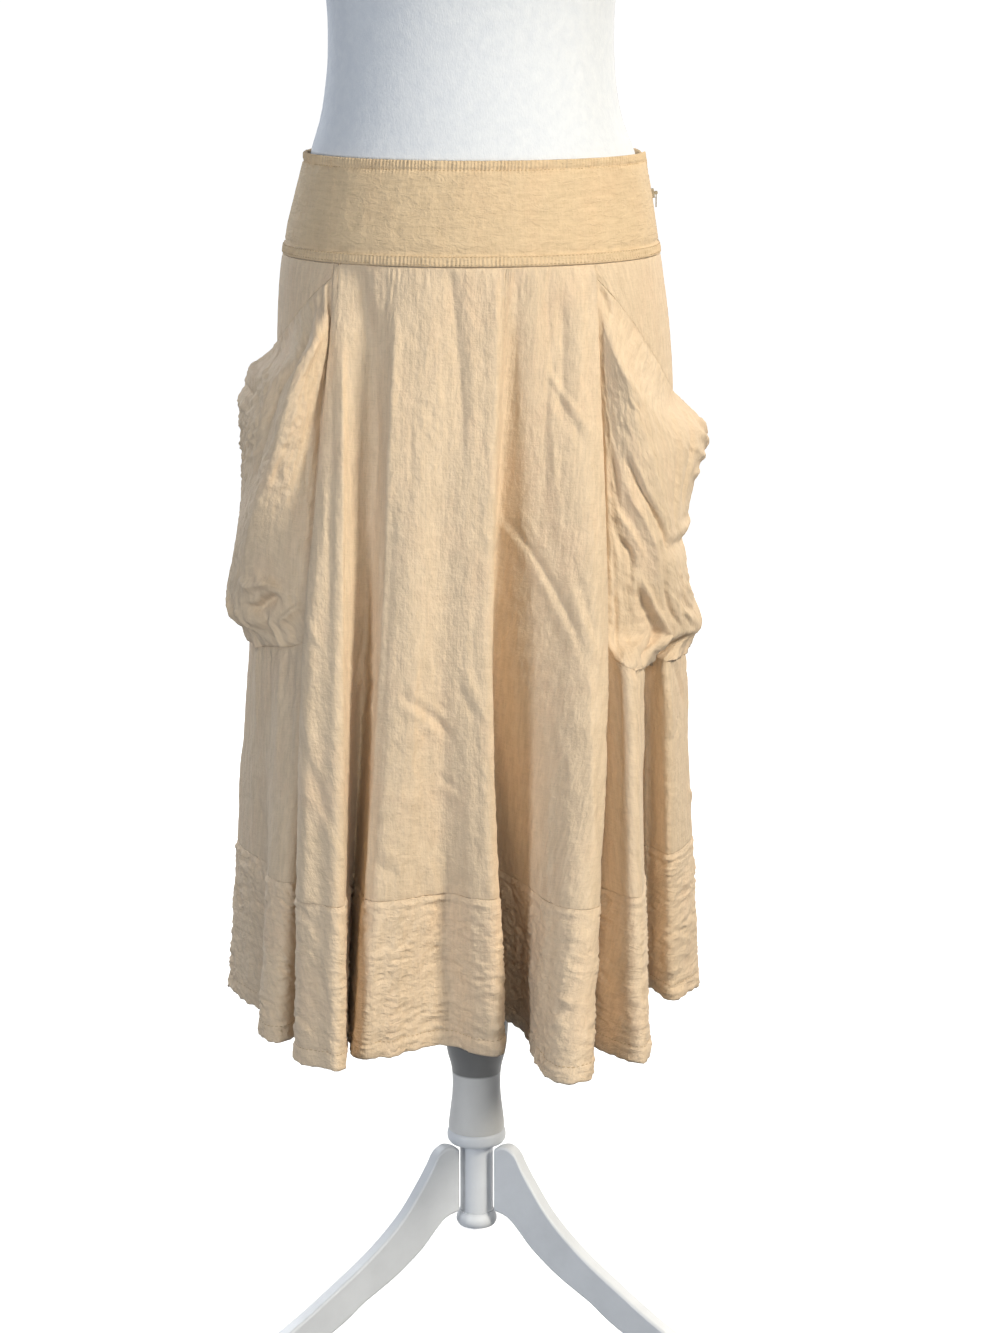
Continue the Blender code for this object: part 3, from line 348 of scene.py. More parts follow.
RIGHT_POCKET_CREASES = (
    # the soft cone of the drape, and the hollow that sets it off from the outer lobe
    (2.6, 4.0, END, 9.88, 1021, 9.8, 1006, 9.66, 980, 9.6, 950, 9.55, 915),
    (1.6, -3.2, END, 9.98, 1021, 9.96, 990, 9.94, 930, 9.9, 870, 9.86, 780, 9.82, 722),
    (3.6, 2.6, BOTH, 9.1, 1000, 8.9, 985, 8.4, 960, 8.0, 930, 7.9, 890, 7.8, 846),
    (7.5, 5.4, BOTH, 8.9, 960, 8.5, 920, 8.1, 880, 7.85, 840, 7.65, 800, 7.5, 765),
    (3.2, -7.4, BOTH, 9.1, 996, 8.5, 980, 7.5, 952, 7.15, 925, 7.05, 890, 7.0, 850, 6.9, 822),
    (5.0, 1.4, BOTH, 9.0, 930, 8.8, 860, 8.7, 800),
    (3.6, -1.8, BOTH, 8.5, 930, 8.3, 880, 8.2, 820),
    # the crumpled outer lobe
    (2.4, 3.2, BOTH, 4.6, 937, 5.5, 934, 6.3, 931),
    (2.4, -3.8, BOTH, 4.6, 922, 5.5, 920, 6.3, 917),
    (2.7, 3.2, BOTH, 4.6, 907, 5.6, 905, 6.3, 900),
    (2.2, 1.9, BOTH, 6.0, 944, 6.5, 930, 6.9, 908),
    (2.0, -2.1, BOTH, 5.9, 928, 6.4, 914, 6.8, 892),
    (2.2, 1.9, BOTH, 5.8, 898, 6.4, 882, 6.8, 862),
    (2.0, -1.9, BOTH, 5.9, 884, 6.4, 868, 6.8, 848),
    (2.2, 1.7, BOTH, 5.6, 870, 6.2, 852, 6.6, 830),
    (2.0, -1.5, BOTH, 5.2, 866, 5.6, 838, 6.0, 818),
    (2.2, 1.7, BOTH, 5.0, 880, 4.8, 846, 5.2, 806),
    # puckers on the slanted seam
    (1.9, 2.1, BOTH, 9.5, 1013, 9.3, 1004, 9.1, 996),
    (1.8, -1.7, BOTH, 9.35, 1010, 9.1, 999, 8.9, 990),
    (1.9, 1.9, BOTH, 9.1, 1005, 8.8, 995),
    (2.0, 2.3, BOTH, 8.1, 984, 7.75, 971, 7.4, 960),
    (1.9, -2.1, BOTH, 8.3, 980, 7.95, 965, 7.7, 955),
    (2.0, 1.9, BOTH, 7.3, 976, 6.9, 962, 6.6, 948),
    (1.9, -1.9, BOTH, 6.9, 972, 6.5, 956, 6.3, 944),
    # the tuck near the foot
    (2.8, 5.6, BOTH, 7.4, 762, 7.9, 758, 8.4, 762, 8.8, 762, 9.1, 750),
    (3.4, -9.6, BOTH, 7.6, 742, 8.2, 738, 8.57, 746, 8.87, 750, 9.2, 740),
    (2.5, 2.8, BOTH, 8.0, 776, 8.4, 766, 8.8, 770),
    (2.2, -2.8, BOTH, 8.7, 770, 8.95, 762, 9.1, 766),
    (2.8, -6.4, BOTH, 8.67, 740, 8.55, 728, 8.35, 716, 8.1, 704),
    (2.7, 3.2, BOTH, 8.55, 735, 8.65, 720, 8.75, 706),
    (1.9, 4.8, BOTH, 8.85, 722, 9.05, 731, 9.32, 739, 9.6, 746, 9.85, 750),
    (2.0, -3.4, BOTH, 8.95, 713, 9.25, 724, 9.5, 733),
    (2.5, 2.8, BOTH, 7.2, 740, 7.6, 722, 8.0, 706),
    (2.2, -2.5, BOTH, 6.9, 748, 7.2, 726, 7.5, 704),
    (2.5, 2.5, BOTH, 6.4, 752, 6.8, 730, 7.0, 706),
    # behind
    (3.4, 2.5, BOTH, 4.4, 920, 4.0, 880, 3.6, 840),
    (3.7, -3.2, BOTH, 3.6, 910, 3.1, 850, 2.6, 795),
    (3.7, 3.2, BOTH, 3.0, 900, 2.5, 840, 2.0, 780),
    (3.4, -2.7, BOTH, 2.0, 930, 1.6, 860, 1.2, 800),
    (3.4, 3.4, BOTH, 3.8, 782, 3.5, 745, 3.2, 708),
    (3.2, -3.2, BOTH, 2.8, 770, 2.6, 740, 2.4, 706),
    (3.1, 2.8, BOTH, 1.7, 782, 1.5, 745, 1.4, 710),
    (2.9, -2.5, BOTH, 4.8, 762, 4.6, 735, 4.4, 710),
)
LEFT_SIDE_CREASES = (
    (3.2, 2.0, NONE, 1.0, 690, 1.0, 600, 1.05, 505),
    (3.4, -2.4, END, 0.5, 690, 0.6, 640, 0.7, 590),
    (4.0, 2.2, END, 1.4, 690, 1.3, 600, 1.3, 540),
    (3.0, -5.6, END, 1.95, 694, 1.9, 650, 1.8, 590),
    (3.6, 3.0, END, 2.4, 686, 2.35, 640, 2.3, 580),
    (3.0, -6.4, END, 3.0, 690, 2.9, 650, 2.7, 590),
    (3.6, 3.0, END, 3.7, 682, 4.0, 650, 4.2, 600),
    (3.0, -2.8, END, 4.3, 680, 4.6, 655, 4.8, 620),
    (3.4, 2.0, END, 4.9, 678, 5.1, 640, 5.3, 590),
    (3.4, 1.8, BOTH, 4.6, 560, 5.2, 540, 5.8, 525),
    (4.0, -2.8, END, 6.4, 680, 6.3, 640, 6.3, 580),
    (4.4, 2.4, END, 7.3, 684, 7.4, 620, 7.4, 560),
    (4.0, -2.4, END, 8.6, 690, 8.5, 640, 8.4, 580),
)
RIGHT_SIDE_CREASES = (
    (4.0, 1.8, END, 9.5, 700, 9.4, 650, 9.4, 590),
    (4.4, -2.0, END, 8.8, 702, 8.9, 640, 8.9, 570),
    (4.0, 1.8, END, 8.0, 694, 8.1, 640, 8.2, 580),
    (3.6, -2.2, END, 7.2, 690, 7.3, 650, 7.4, 600),
    (3.6, 1.8, END, 6.3, 686, 6.4, 650, 6.5, 610),
    (5.0, 1.6, BOTH, 5.0, 600, 5.2, 560, 5.4, 525),
    (3.4, -1.6, BOTH, 6.4, 560, 6.9, 540, 7.4, 525),
    (4.0, -2.4, END, 3.6, 686, 3.5, 640, 3.4, 580),
    (4.4, 2.4, END, 2.2, 694, 2.3, 620, 2.3, 560),
    (4.0, -1.8, END, 1.2, 700, 1.1, 650, 1.1, 590),
)
CREASES = {
    "front": FRONT_CREASES, "front_band": FRONT_BAND_CREASES, "back": BACK_CREASES,
    "pocket_left": LEFT_POCKET_CREASES, "pocket_right": RIGHT_POCKET_CREASES,
    "side_left": LEFT_SIDE_CREASES, "side_right": RIGHT_SIDE_CREASES,
}
# How high the hem band's crinkles climb across the front: fold line, climb (mm)
BAND_CLIMB = (
    (0, 0), (1, 14), (3, -34), (4, 0), (5, -36), (6.8, 30), (9, -6), (10, 0), (12, 16), (14, -30), (15, 0),
)

# ---- Dress form: z, half width, depth in front, depth behind, squareness (mm) ----
TORSO_RINGS = (
    (852, 118, 70, 84, 2.0),
    (856, 136, 82, 98, 2.0),
    (872, 152, 94, 113, 2.0),
    (905, 164, 102, 127, 2.0),
    (957, 166, 108, 134, 2.0),
    (1000, 161, 113, 130, 2.0),
    (1034, 157, 117, 124, 2.0),
    (1080, 147, 108, 112, 2.0),
    (1120, 139, 99, 103, 2.0),
    (1150, 129, 94, 96, 2.0),
    (1180, 124, 91, 91, 2.0),
    (1206, 122, 90, 88, 2.0),
    (1247, 123, 94, 89, 2.05),
    (1290, 131, 106, 95, 2.1),
    (1335, 143, 124, 103, 2.2),
    (1375, 152, 132, 109, 2.25),
    (1415, 158, 124, 113, 2.3),
    (1455, 168, 104, 114, 2.4),
    (1495, 178, 86, 108, 2.4),
    (1530, 176, 71, 94, 2.3),
    (1556, 148, 62, 80, 2.2),
    (1574, 102, 55, 68, 2.1),
    (1592, 68, 52, 60, 2.0),
    (1625, 57, 54, 55, 2.0),
    (1655, 55, 55, 55, 2.0),
)
TORSO_LEAN = -0.003
CAP_PROFILE = (          # radius, z, top to bottom (mm)
    (0, 1716), (8, 1714), (13, 1708), (14, 1700), (10, 1692), (8, 1686),
    (14, 1682), (34, 1676), (50, 1668), (54, 1662), (54, 1655.5), (0, 1655.5),
)
POLE_PROFILE = (
    (0, 851.5), (17, 851.5), (17, 380), (19, 368), (26, 352), (29, 335), (28.5, 318), (26.5, 303),
    (23.2, 290), (22, 276), (22.4, 262), (24.2, 246), (25.6, 234), (25.6, 228.5), (0, 228.5),
)
RING_PROFILE = (
    (0, 228.2), (25.4, 228.2), (26.6, 226), (27, 222.5), (26.6, 219), (25.2, 216.6), (0, 216.6),
)
POST_PROFILE = ((0, 216.3), (15.2, 216.3), (15.2, 148.3), (0, 148.3))
POST_CAP_PROFILE = (
    (0, 148), (16, 148), (16.6, 146), (18.4, 142), (18.6, 138), (17, 134.6), (0, 134.6),
)
LEG_SECTIONS = (         # radius and z of the upper edge, then of the lower edge (mm)
    (21.5, 213, 21.5, 152),
    (33, 217, 36, 148),
    (43, 212, 48, 137),
    (50, 200, 60, 124),
    (61, 183, 76, 111),
    (77, 161, 92, 100),
    (97, 141, 108, 91),
    (122, 121, 124, 82),
    (149, 103, 139, 71),
    (175, 86, 160, 59),
    (201, 71, 188, 46),
    (229, 57, 217, 34),
    (258, 43, 246, 22),
    (286, 31, 275, 11),
    (310, 20, 304, 0),
)
POLE_SHADE_Z = 0.284         # foot of the dark grey painted shade where the skirt shades the pole
LEG_TOE = (326, 8, 326, 0)
LEG_THICK = 0.014
LEGS = (("stand_leg_right", 210.0), ("stand_leg_left", 330.0), ("stand_leg_rear", 90.0))


# ---- Numbers over whole grids ----
def lerp(a, b, t):
    return a + (b - a) * t


def smoothstep(t):
    t = np.clip(t, 0.0, 1.0)
    return t * t * (3 - 2 * t)


def curve_through(points, t):
    """A smooth open curve through points (L, N or 1, D), read at t (N) spans."""
    last = len(points) - 1
    i = np.clip(np.floor(t).astype(int), 0, last - 1)
    f = (t - i)[:, None]
    ends = (2 * points[:1] - points[1:2], 2 * points[-1:] - points[-2:-1])
    more = np.concatenate((ends[0], points, ends[1]))
    more = np.broadcast_to(more, (last + 3, len(t), points.shape[2]))
    n = np.arange(len(t))
    a, b, c, d = (more[i + k, n] for k in range(4))
    return 0.5 * (2 * b + (c - a) * f + (2 * a - 5 * b + 4 * c - d) * f * f
                  + (3 * b - a - 3 * c + d) * f ** 3)


def table_at(rows, z):
    """The columns after z of a table whose first column falls from row to row (mm)."""
    table = np.array(rows, float)
    heights = table[:, 0] * MM
    t = np.interp(-np.clip(z, heights[-1], heights[0]), -heights, np.arange(len(rows)))
    return curve_through(table[:, None, 1:], t).T * MM


LATTICE = (101, 89)      # unit squares before the noise repeats


def noise(x, y, seed):
    """Smooth noise, about -1 to 1, on a lattice of unit squares."""
    turns = np.random.default_rng(seed).uniform(0, 2 * math.pi, LATTICE)
    xi, yi = np.floor(x).astype(int), np.floor(y).astype(int)
    fx, fy = x - xi, y - yi
    corners = {}
    for i in (0, 1):
        for j in (0, 1):
            a = turns[(xi + i) % LATTICE[0], (yi + j) % LATTICE[1]]
            corners[i, j] = np.cos(a) * (fx - i) + np.sin(a) * (fy - j)
    sx = fx ** 3 * (fx * (6 * fx - 15) + 10)
    sy = fy ** 3 * (fy * (6 * fy - 15) + 10)
    low = lerp(corners[0, 0], corners[1, 0], sx)
    high = lerp(corners[0, 1], corners[1, 1], sx)
    return 1.5 * lerp(low, high, sy)


def ridges(x, y, seed):
    """Sharp crests on smooth ground, about -1 to 1."""
    return 1 - 2.4 * np.abs(noise(x, y, seed))


# ---- The skirt's surface, level by level ----
GROUPS = {
    "front": FRONT_LINES + LEFT_LINES[:1],
    "left": LEFT_LINES + BACK_LINES[:1],
    "back": BACK_LINES + RIGHT_LINES[:1],
    "right": RIGHT_LINES + (FRONT_LINES[0][:1] + (FRONT_LINES[0][1] + 360,) + FRONT_LINES[0][2:],),
}
POCKETS = {"left": LEFT_POCKET, "right": RIGHT_POCKET}
SIDE_DEGREES = {"left": 90.0, "right": 270.0}


def body_points(degrees, z):
    half, front, back, centre = table_at(BODY_RINGS, z)
    a = np.radians(degrees)
    depth = np.where(np.cos(a) > 0, front, back)
    return np.stack((centre + half * np.sin(a), -depth * np.cos(a)), -1)


def fold_lines(group, z):
    """Every fold line's point at each height z: (lines, N, 2)."""
    lines = GROUPS[group]
    angles = np.array([line[1] for line in lines])
    high = body_points(angles, np.full(len(lines), WAIST_Z))[:, None]
    mid = np.array([line[2:4] for line in lines], float)[:, None] * MM
    low = np.array([line[4:6] for line in lines], float)[:, None] * MM
    slope_1 = (high - mid) / (WAIST_Z - THIGH_Z)
    slope_2 = (mid - low) / (THIGH_Z - HEM_Z)
    middle = (slope_1 + slope_2) / 2

    def between(foot, head, m_foot, m_head, z_foot, z_head):
        span = z_head - z_foot
        t = ((z - z_foot) / span)[None, :, None]
        return ((2 * t ** 3 - 3 * t ** 2 + 1) * foot + (t ** 3 - 2 * t ** 2 + t) * span * m_foot
                + (3 * t ** 2 - 2 * t ** 3) * head + (t ** 3 - t ** 2) * span * m_head)

    upper = between(mid, high, middle, slope_1, THIGH_Z, WAIST_Z)
    lower = between(low, mid, slope_2, middle, HEM_Z, THIGH_Z)
    return np.where((z > THIGH_Z)[None, :, None], upper, lower)


def seam_z(group, u):
    return lerp(POCKET_TOP_Z, POCKET_SIDE_Z[group], np.sin(math.pi * u) ** 1.15)


def foot_z(group, u):
    return lerp(FOOT_END_Z[group], FOOT_SIDE_Z[group], np.sin(math.pi * u))


def surface(group, u, z):
    """Points (N, 3) of the cloth's outer side."""
    lines = fold_lines(group, z)
    flat = curve_through(lines, u * (len(lines) - 1))
    if group in POCKETS:
        angles = [GROUPS[group][0][1], SIDE_DEGREES[group], GROUPS[group][-1][1]]
        body = body_points(np.interp(u, (0, 0.5, 1), angles), z)
        start, end = lines[0], lines[-1]
        near = (np.maximum(0, 1 - 8 * u) ** 2)[:, None]
        far = (np.maximum(0, 8 * u - 7) ** 2)[:, None]
        body = body + (start - body_points(np.full(len(z), angles[0]), z)) * near
        body = body + (end - body_points(np.full(len(z), angles[2]), z)) * far
        marks = table_at(POCKETS[group], z).T.reshape(len(z), 3, 2).transpose(1, 0, 2)
        if group == "right":
            marks = marks[::-1]
        drape = curve_through(np.concatenate((start[None], marks, end[None])), u * 4)
        out = lerp(body, drape, smoothstep((seam_z(group, u) - z) / SEAM_EASE)[:, None])
        flat = lerp(flat, out, smoothstep((z - foot_z(group, u)) / FOOT_EASE)[:, None])
    return np.column_stack((flat[:, 0], flat[:, 1] + POLE_Y, z))


def surface_grid(group, u, z):
    return surface(group, u.ravel(), z.ravel()).reshape(*u.shape, 3)


def normals(grid):
    """Outward unit normals of a grid whose rows go down and columns go round."""
    n = np.cross(np.gradient(grid, axis=0), np.gradient(grid, axis=1))
    return n / np.maximum(np.linalg.norm(n, axis=2, keepdims=True), 1e-12)


def measure(grid):
    """Cloth coordinates in metres: across from the middle column, and down from the top row.
    The grain leans with the folds, more than half as much as they spread."""
    across = np.linalg.norm(np.diff(grid, axis=1), axis=2)
    across = np.concatenate((np.zeros((len(grid), 1)), np.cumsum(across, axis=1)), axis=1)
    across -= across[:, across.shape[1] // 2][:, None]
    across = lerp(across, across[len(grid) // 2], 0.6)
    down = np.linalg.norm(np.diff(grid, axis=0), axis=2)
    down = np.concatenate((np.zeros((1, grid.shape[1])), np.cumsum(down, axis=0)))
    return across, down


# ---- Creases and crumples: heights in metres over a grid ----
STEEP_SIDE, GENTLE_SIDE = 0.85, 1.7      # a crease's left and right sides, in half widths
START_SHARE, END_SHARE = 0.30, 0.40      # of a crease's length, over which a soft end fades
CREASE_REACH = 5.0                       # half widths beyond which a crease is not felt
TENTHS = 10.0                            # across a pocket or side panel


def crease_height(group, grid, creases):
    """Listed ridges and troughs, soft along their paths. One that runs down is steeper on its
    left than on its right."""
    spans = TENTHS if group in POCKETS else len(GROUPS[group]) - 1.0
    height = np.zeros(grid.shape[:2])
    outward = normals(grid)
    for width, rise, ends, *places in creases:
        places = np.reshape(places, (-1, 1, 2)).astype(float)
        t = np.linspace(0, 1, 12 * len(places))
        line, z = curve_through(places, t * (len(places) - 1)).T
        path = surface(group, np.clip(line / spans, 0, 1), z * MM)
        reach = CREASE_REACH * width * MM
        near = np.ones(grid.shape[:2], bool)
        for axis in range(3):
            near &= grid[..., axis] > path[:, axis].min() - reach
            near &= grid[..., axis] < path[:, axis].max() + reach
        points = grid[near]
        if not len(points):
            continue
        start, step = path[:-1], np.diff(path, axis=0)
        across = points[:, None] - start
        part = np.clip((across * step).sum(2) / np.maximum((step ** 2).sum(1), 1e-12), 0, 1)
        gap = np.linalg.norm(across - part[..., None] * step, axis=2)
        nearest = gap.argmin(axis=1)
        row = np.arange(len(points))
        along = (nearest + part[row, nearest]) / len(step)
        turn = (np.cross(step[nearest], across[row, nearest]) * outward[near]).sum(1)
        side = np.where(turn > 0, STEEP_SIDE, GENTLE_SIDE)
        away = gap[row, nearest] / (side * width * MM)
        fade = np.ones(len(points))
        if "start" in ends:
            fade *= smoothstep(along / START_SHARE)
        if "end" in ends:
            fade *= smoothstep((1 - along) / END_SHARE)
        lips = 0.15 * np.exp(-((away - 2.4) / 0.9) ** 2)
        crest = np.exp(-1.25 * (np.sqrt(away ** 2 + 0.12) - 0.346))
        height[near] += rise * MM * fade * (crest - lips)
    return height


def crumple(across, down, seed, size=0.014, rise=0.00062, stretch=1.5):
    """Fine irregular crumples of linen: crests of two sizes, longer down the cloth than across."""
    x, y = across / size, down / (size * stretch)
    bend = 0.7 * noise(x * 0.5, y * 0.5, seed + 1)
    coarse = ridges(x * 0.8 + bend, y * 0.8 - bend, seed + 2)
    fine = ridges(x * 2.0 + bend, y * 1.8, seed + 3)
    patches = np.clip(0.7 + 0.8 * noise(x * 0.2, y * 0.2, seed + 4), 0.15, 1.5)
    return rise * patches * (0.8 * coarse + 0.5 * fine)


def streaks(across, down, seed, rise=0.00022):
    """Long soft ripples that run down the cloth."""
    wander = 0.6 * noise(across / 0.03, down / 0.07, seed)
    slow = noise(across / 0.010 + wander, down / 0.080, seed + 5)
    quick = noise(across / 0.0050 + wander, down / 0.045, seed + 6)
    return rise * (slow + 0.7 * quick)


def crinkle(across, down, climb, seed, rise=0.00135):
    """The hem band's close crinkles, nearly level, rising and falling in chevrons."""
    lift = climb + 0.018 * noise(across / 0.040, down / 0.10, seed)
    lift += 0.004 * noise(across / 0.013, down / 0.02, seed + 1)
    level = (down + lift) / 0.0050
    patches = np.clip(1.0 + 0.9 * noise(across / 0.035, down / 0.030, seed + 2), 0.5, 1.8)
    long = ridges(across / 0.022, level * 0.62, seed + 3)
    short = ridges(across / 0.011, level * 1.05, seed + 4)
    return rise * patches * (0.85 * long + 0.6 * short)


# ---- Meshes ----
def in_scene(name, data):
    obj = bpy.data.objects.new(name, data)
    bpy.context.scene.collection.objects.link(obj)
    return obj


def new_object(name, points, faces, material, slot, uv=None, smooth_angle=None):
    mesh = bpy.data.meshes.new(name)
    mesh.from_pydata(points.tolist(), [], faces.tolist() if hasattr(faces, "tolist") else faces)
    if uv is not None:
        layer = mesh.uv_layers.new(name="UVMap")
        corner = np.empty(len(mesh.loops), np.int32)
        mesh.loops.foreach_get("vertex_index", corner)
        layer.uv.foreach_set("vector", uv[corner].astype(np.float32).ravel())
    mesh.shade_smooth()
    if smooth_angle:
        mesh.set_sharp_from_angle(angle=math.radians(smooth_angle))
    mesh.materials.append(material)
    obj = in_scene(name, mesh)
    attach(obj, BODY)
    return obj


def grid_faces(rows, columns, offset=0, flip=False):
    index = offset + np.arange(rows * columns).reshape(rows, columns)
    corners = [index[:-1, :-1], index[1:, :-1], index[1:, 1:], index[:-1, 1:]]
    if flip:
        corners.reverse()
    return np.stack(corners, -1).reshape(-1, 4)


def rings_mesh(grid, *ends):
    """Points and faces of rings from top to bottom, closed to a point above them and, if a second
    one is given, below. With no points, both ends are flat."""
    rows, steps = grid.shape[:2]
    index = np.arange(rows * steps).reshape(rows, steps)
    after = np.roll(index, -1, axis=1)
    faces = np.stack((index[:-1], index[1:], after[1:], after[:-1]), -1).reshape(-1, 4).tolist()
    if not ends:
        return grid.reshape(-1, 3), faces + [index[0].tolist(), index[-1, ::-1].tolist()]
    points = np.concatenate((grid.reshape(-1, 3), ends))
    faces += [(rows * steps, a, b) for a, b in zip(index[0].tolist(), after[0].tolist())]
    if len(ends) > 1:
        faces += [(rows * steps + 1, b, a) for a, b in zip(index[-1].tolist(), after[-1].tolist())]
    return points, faces


def circles(radii, heights, steps):
    """Level rings round the z axis, one for each radius and height: (rings, steps, 3)."""
    angles = np.arange(steps) / steps * 2 * math.pi
    radii, heights = np.reshape(radii, (-1, 1)), np.reshape(heights, (-1, 1))
    return np.dstack((radii * np.cos(angles), radii * np.sin(angles), np.repeat(heights, steps, axis=1)))


def shell(name, grid, uv, material, slot, thickness=CLOTH):
    """A thin closed shell inward from a grid of outer points."""
    rows, columns = grid.shape[:2]
    inner = grid - normals(grid) * thickness
    count = rows * columns
    points = np.concatenate((grid.reshape(-1, 3), inner.reshape(-1, 3)))
    faces = [grid_faces(rows, columns), grid_faces(rows, columns, count, True)]
    index = np.arange(count).reshape(rows, columns)
    loop = np.concatenate((index[0], index[1:, -1], index[-1, -2::-1], index[-2:0:-1, 0]))
    after = np.roll(loop, -1)
    faces.append(np.stack((loop, after, after + count, loop + count), -1))
    uv = np.concatenate((uv.reshape(-1, 2), uv.reshape(-1, 2)))
    return new_object(name, points, np.concatenate(faces), material, slot, uv)


EDGE_STRIPS = ((0.0, 1.0), (0.0006, 0.45), (0.0015, 0.12))   # beside a sewn edge: distance, share of dip


def with_edges(grid, uv, sides, turn=0.0024, dip=0.00022):
    """Adds close rows and columns at sewn edges, dips them, and turns an allowance inwards.

    sides gives the gap to the next piece at the top, bottom, first and last edges that are sewn.
    """
    data = np.concatenate((grid, uv, normals(grid)), axis=2)
    for side, axis, at in (("bottom", 0, -1), ("top", 0, 0), ("last", 1, -1), ("first", 1, 0)):
        gap = sides.get(side)
        if gap is None:
            continue
        data = np.swapaxes(data, 0, axis) if axis else data
        if at == -1:
            data = data[::-1]
        edge, beside = data[0].copy(), data[1]
        span = np.linalg.norm((beside - edge)[:, :3], axis=1, keepdims=True)
        into = (beside - edge) / np.maximum(span, 1e-9)
        strips = []
        for away, drop in EDGE_STRIPS:
            strip = edge + into * np.minimum(gap / 2 + away, span * 0.8)
            strip[:, :3] -= edge[:, 5:8] * dip * drop
            strips.append(strip)
        fold = strips[0].copy()
        fold[:, :3] += into[:, :3] * turn * 0.12 - edge[:, 5:8] * turn
        fold[:, 3:5] -= into[:, 3:5] * turn
        data = np.concatenate((np.stack([fold] + strips), data[1:]))
        if at == -1:
            data = data[::-1]
        data = np.swapaxes(data, 0, axis) if axis else data
    return data[..., :3], data[..., 3:5]


# ---- Materials ----
class Nodes:
    """Short ways to make and join shader nodes."""

    def __init__(self, name):
        self.material = bpy.data.materials.new(name)
        self.material.use_nodes = True
        self.tree = self.material.node_tree
        self.shader = self.tree.nodes["Principled BSDF"]

    def add(self, kind, **values):
        node = self.tree.nodes.new("ShaderNode" + kind)
        for key, value in values.items():
            if hasattr(node, key):
                setattr(node, key, value)
            else:
                self.put(node, key, value)
        return node

    def put(self, node, key, value):
        socket = node.inputs[key.replace("_", " ") if isinstance(key, str) else key]
        if isinstance(value, bpy.types.NodeSocket):
            self.tree.links.new(value, socket)
        else:
            socket.default_value = value

    def math(self, operation, a, b=0.0):
        node = self.add("Math", operation=operation)
        self.put(node, 0, a)
        self.put(node, 1, b)
        return node.outputs[0]

    def noise(self, vector, scale, detail=2.0, roughness=0.5):
        node = self.add("TexNoise", Vector=vector, Scale=scale, Detail=detail, Roughness=roughness)
        return node.outputs["Fac"]

    def stretched(self, vector, x, y, z=1.0):
        return self.add("Mapping", Vector=vector, Scale=(x, y, z)).outputs[0]

    def mix(self, factor, a, b):
        node = self.add("Mix", data_type="RGBA")
        self.put(node, 0, factor)
        self.put(node, 6, a)
        self.put(node, 7, b)
        return node.outputs[2]

    def ramp(self, value, low, high):
        return self.add("MapRange", Value=value, From_Min=low, From_Max=high).outputs[0]

    def bump(self, height, distance, strength=1.0, normal=None):
        node = self.add("Bump", Height=height, Distance=distance, Strength=strength)
        if normal is not None:
            self.put(node, "Normal", normal)
        return node.outputs[0]

    def finished(self, **values):
        """Sets the shader's sockets and gives the material."""
        for key, value in values.items():
            self.put(self.shader, key, value)
        return self.material


def linen(name, base, bump_mm=0.12, level=False, crush=None):
    """Plain-woven linen and cotton: threads, slubs, small crumples and uneven colour, with painted cavity
    shade that leaves the crests of the crumples and pressed-in wrinkles lighter than their hollows.
    crush is the stretch of its pressed-in wrinkles and their depth (mm)."""
    n = Nodes(name)
    uv = n.add("UVMap", uv_map="UVMap").outputs[0]
    slubs = n.math("ADD", n.noise(n.stretched(uv, 1100, 60), 1.0), n.noise(n.stretched(uv, 60, 1100), 1.0))
    grain = n.noise(n.stretched(uv, 480, 380), 1.0, 3.0, 0.6)
    crumples = n.noise(n.stretched(uv, 150, 100), 1.0, 5.0, 0.62)
    ripples = n.noise(n.stretched(uv, *((40, 300) if level else (260, 34))), 1.0, 3.0, 0.6)
    patches = n.noise(n.stretched(uv, 13, 9), 1.0, 4.0, 0.62)
    blush = n.noise(n.stretched(uv, 26, 15), 1.0, 3.0, 0.6)

    def tint(*factors):
        return tuple(min(1.0, c * k) for c, k in zip(base, factors)) + (1.0,)

    colour = tint(1, 1, 1)
    for source, low, high, share, factors in (
        (patches, 0.34, 0.68, 1.0, (0.93, 0.92, 0.91)),
        (blush, 0.48, 0.68, 0.7, (1.0, 0.945, 0.93)),
        (slubs, 0.98, 1.25, 0.6, (0.82, 0.80, 0.76)),
        (ripples, 0.50, 0.72, 0.5, (0.80, 0.785, 0.76)),
        (ripples, 0.50, 0.28, 0.45, (1.16, 1.16, 1.15)),
        # painted cavity shade: the crumples' crests lighter, their hollows darker
        (crumples, 0.52, 0.72, 0.5, (1.12, 1.12, 1.13)),
        (grain, 0.52, 0.74, 0.4, (1.12, 1.12, 1.12)),
    ):
        colour = n.mix(n.math("MULTIPLY", n.ramp(source, low, high), share), colour, tint(*factors))
    normal = None
    if crush:
        x, y, depth = crush
        wrinkles = n.add("TexNoise", Vector=n.stretched(uv, x, y), Scale=1.0, Detail=3.0, Distortion=1.1)
        crest = n.math("ABSOLUTE", n.math("SUBTRACT", wrinkles.outputs["Fac"], 0.5))
        crest = n.ramp(crest, 0.14, 0.0)
        # painted highlight: the raised crests of the pressed-in wrinkles are lighter than their hollows
        colour = n.mix(n.math("MULTIPLY", crest, 0.30), colour, tint(1.16, 1.16, 1.17))
        normal = n.bump(crest, depth * MM, 1.0)
    layers = ((crumples, 20, 0.8), (ripples, 9, 0.7), (grain, 4, 0.7), (slubs, 2, 0.6))
    for source, depth, strength in layers:
        normal = n.bump(source, bump_mm * depth * MM, strength, normal)
    return n.finished(Base_Color=colour, Roughness=0.88, Sheen_Weight=0.10, Sheen_Roughness=0.5,
                      Specular_IOR_Level=0.2, Normal=normal)


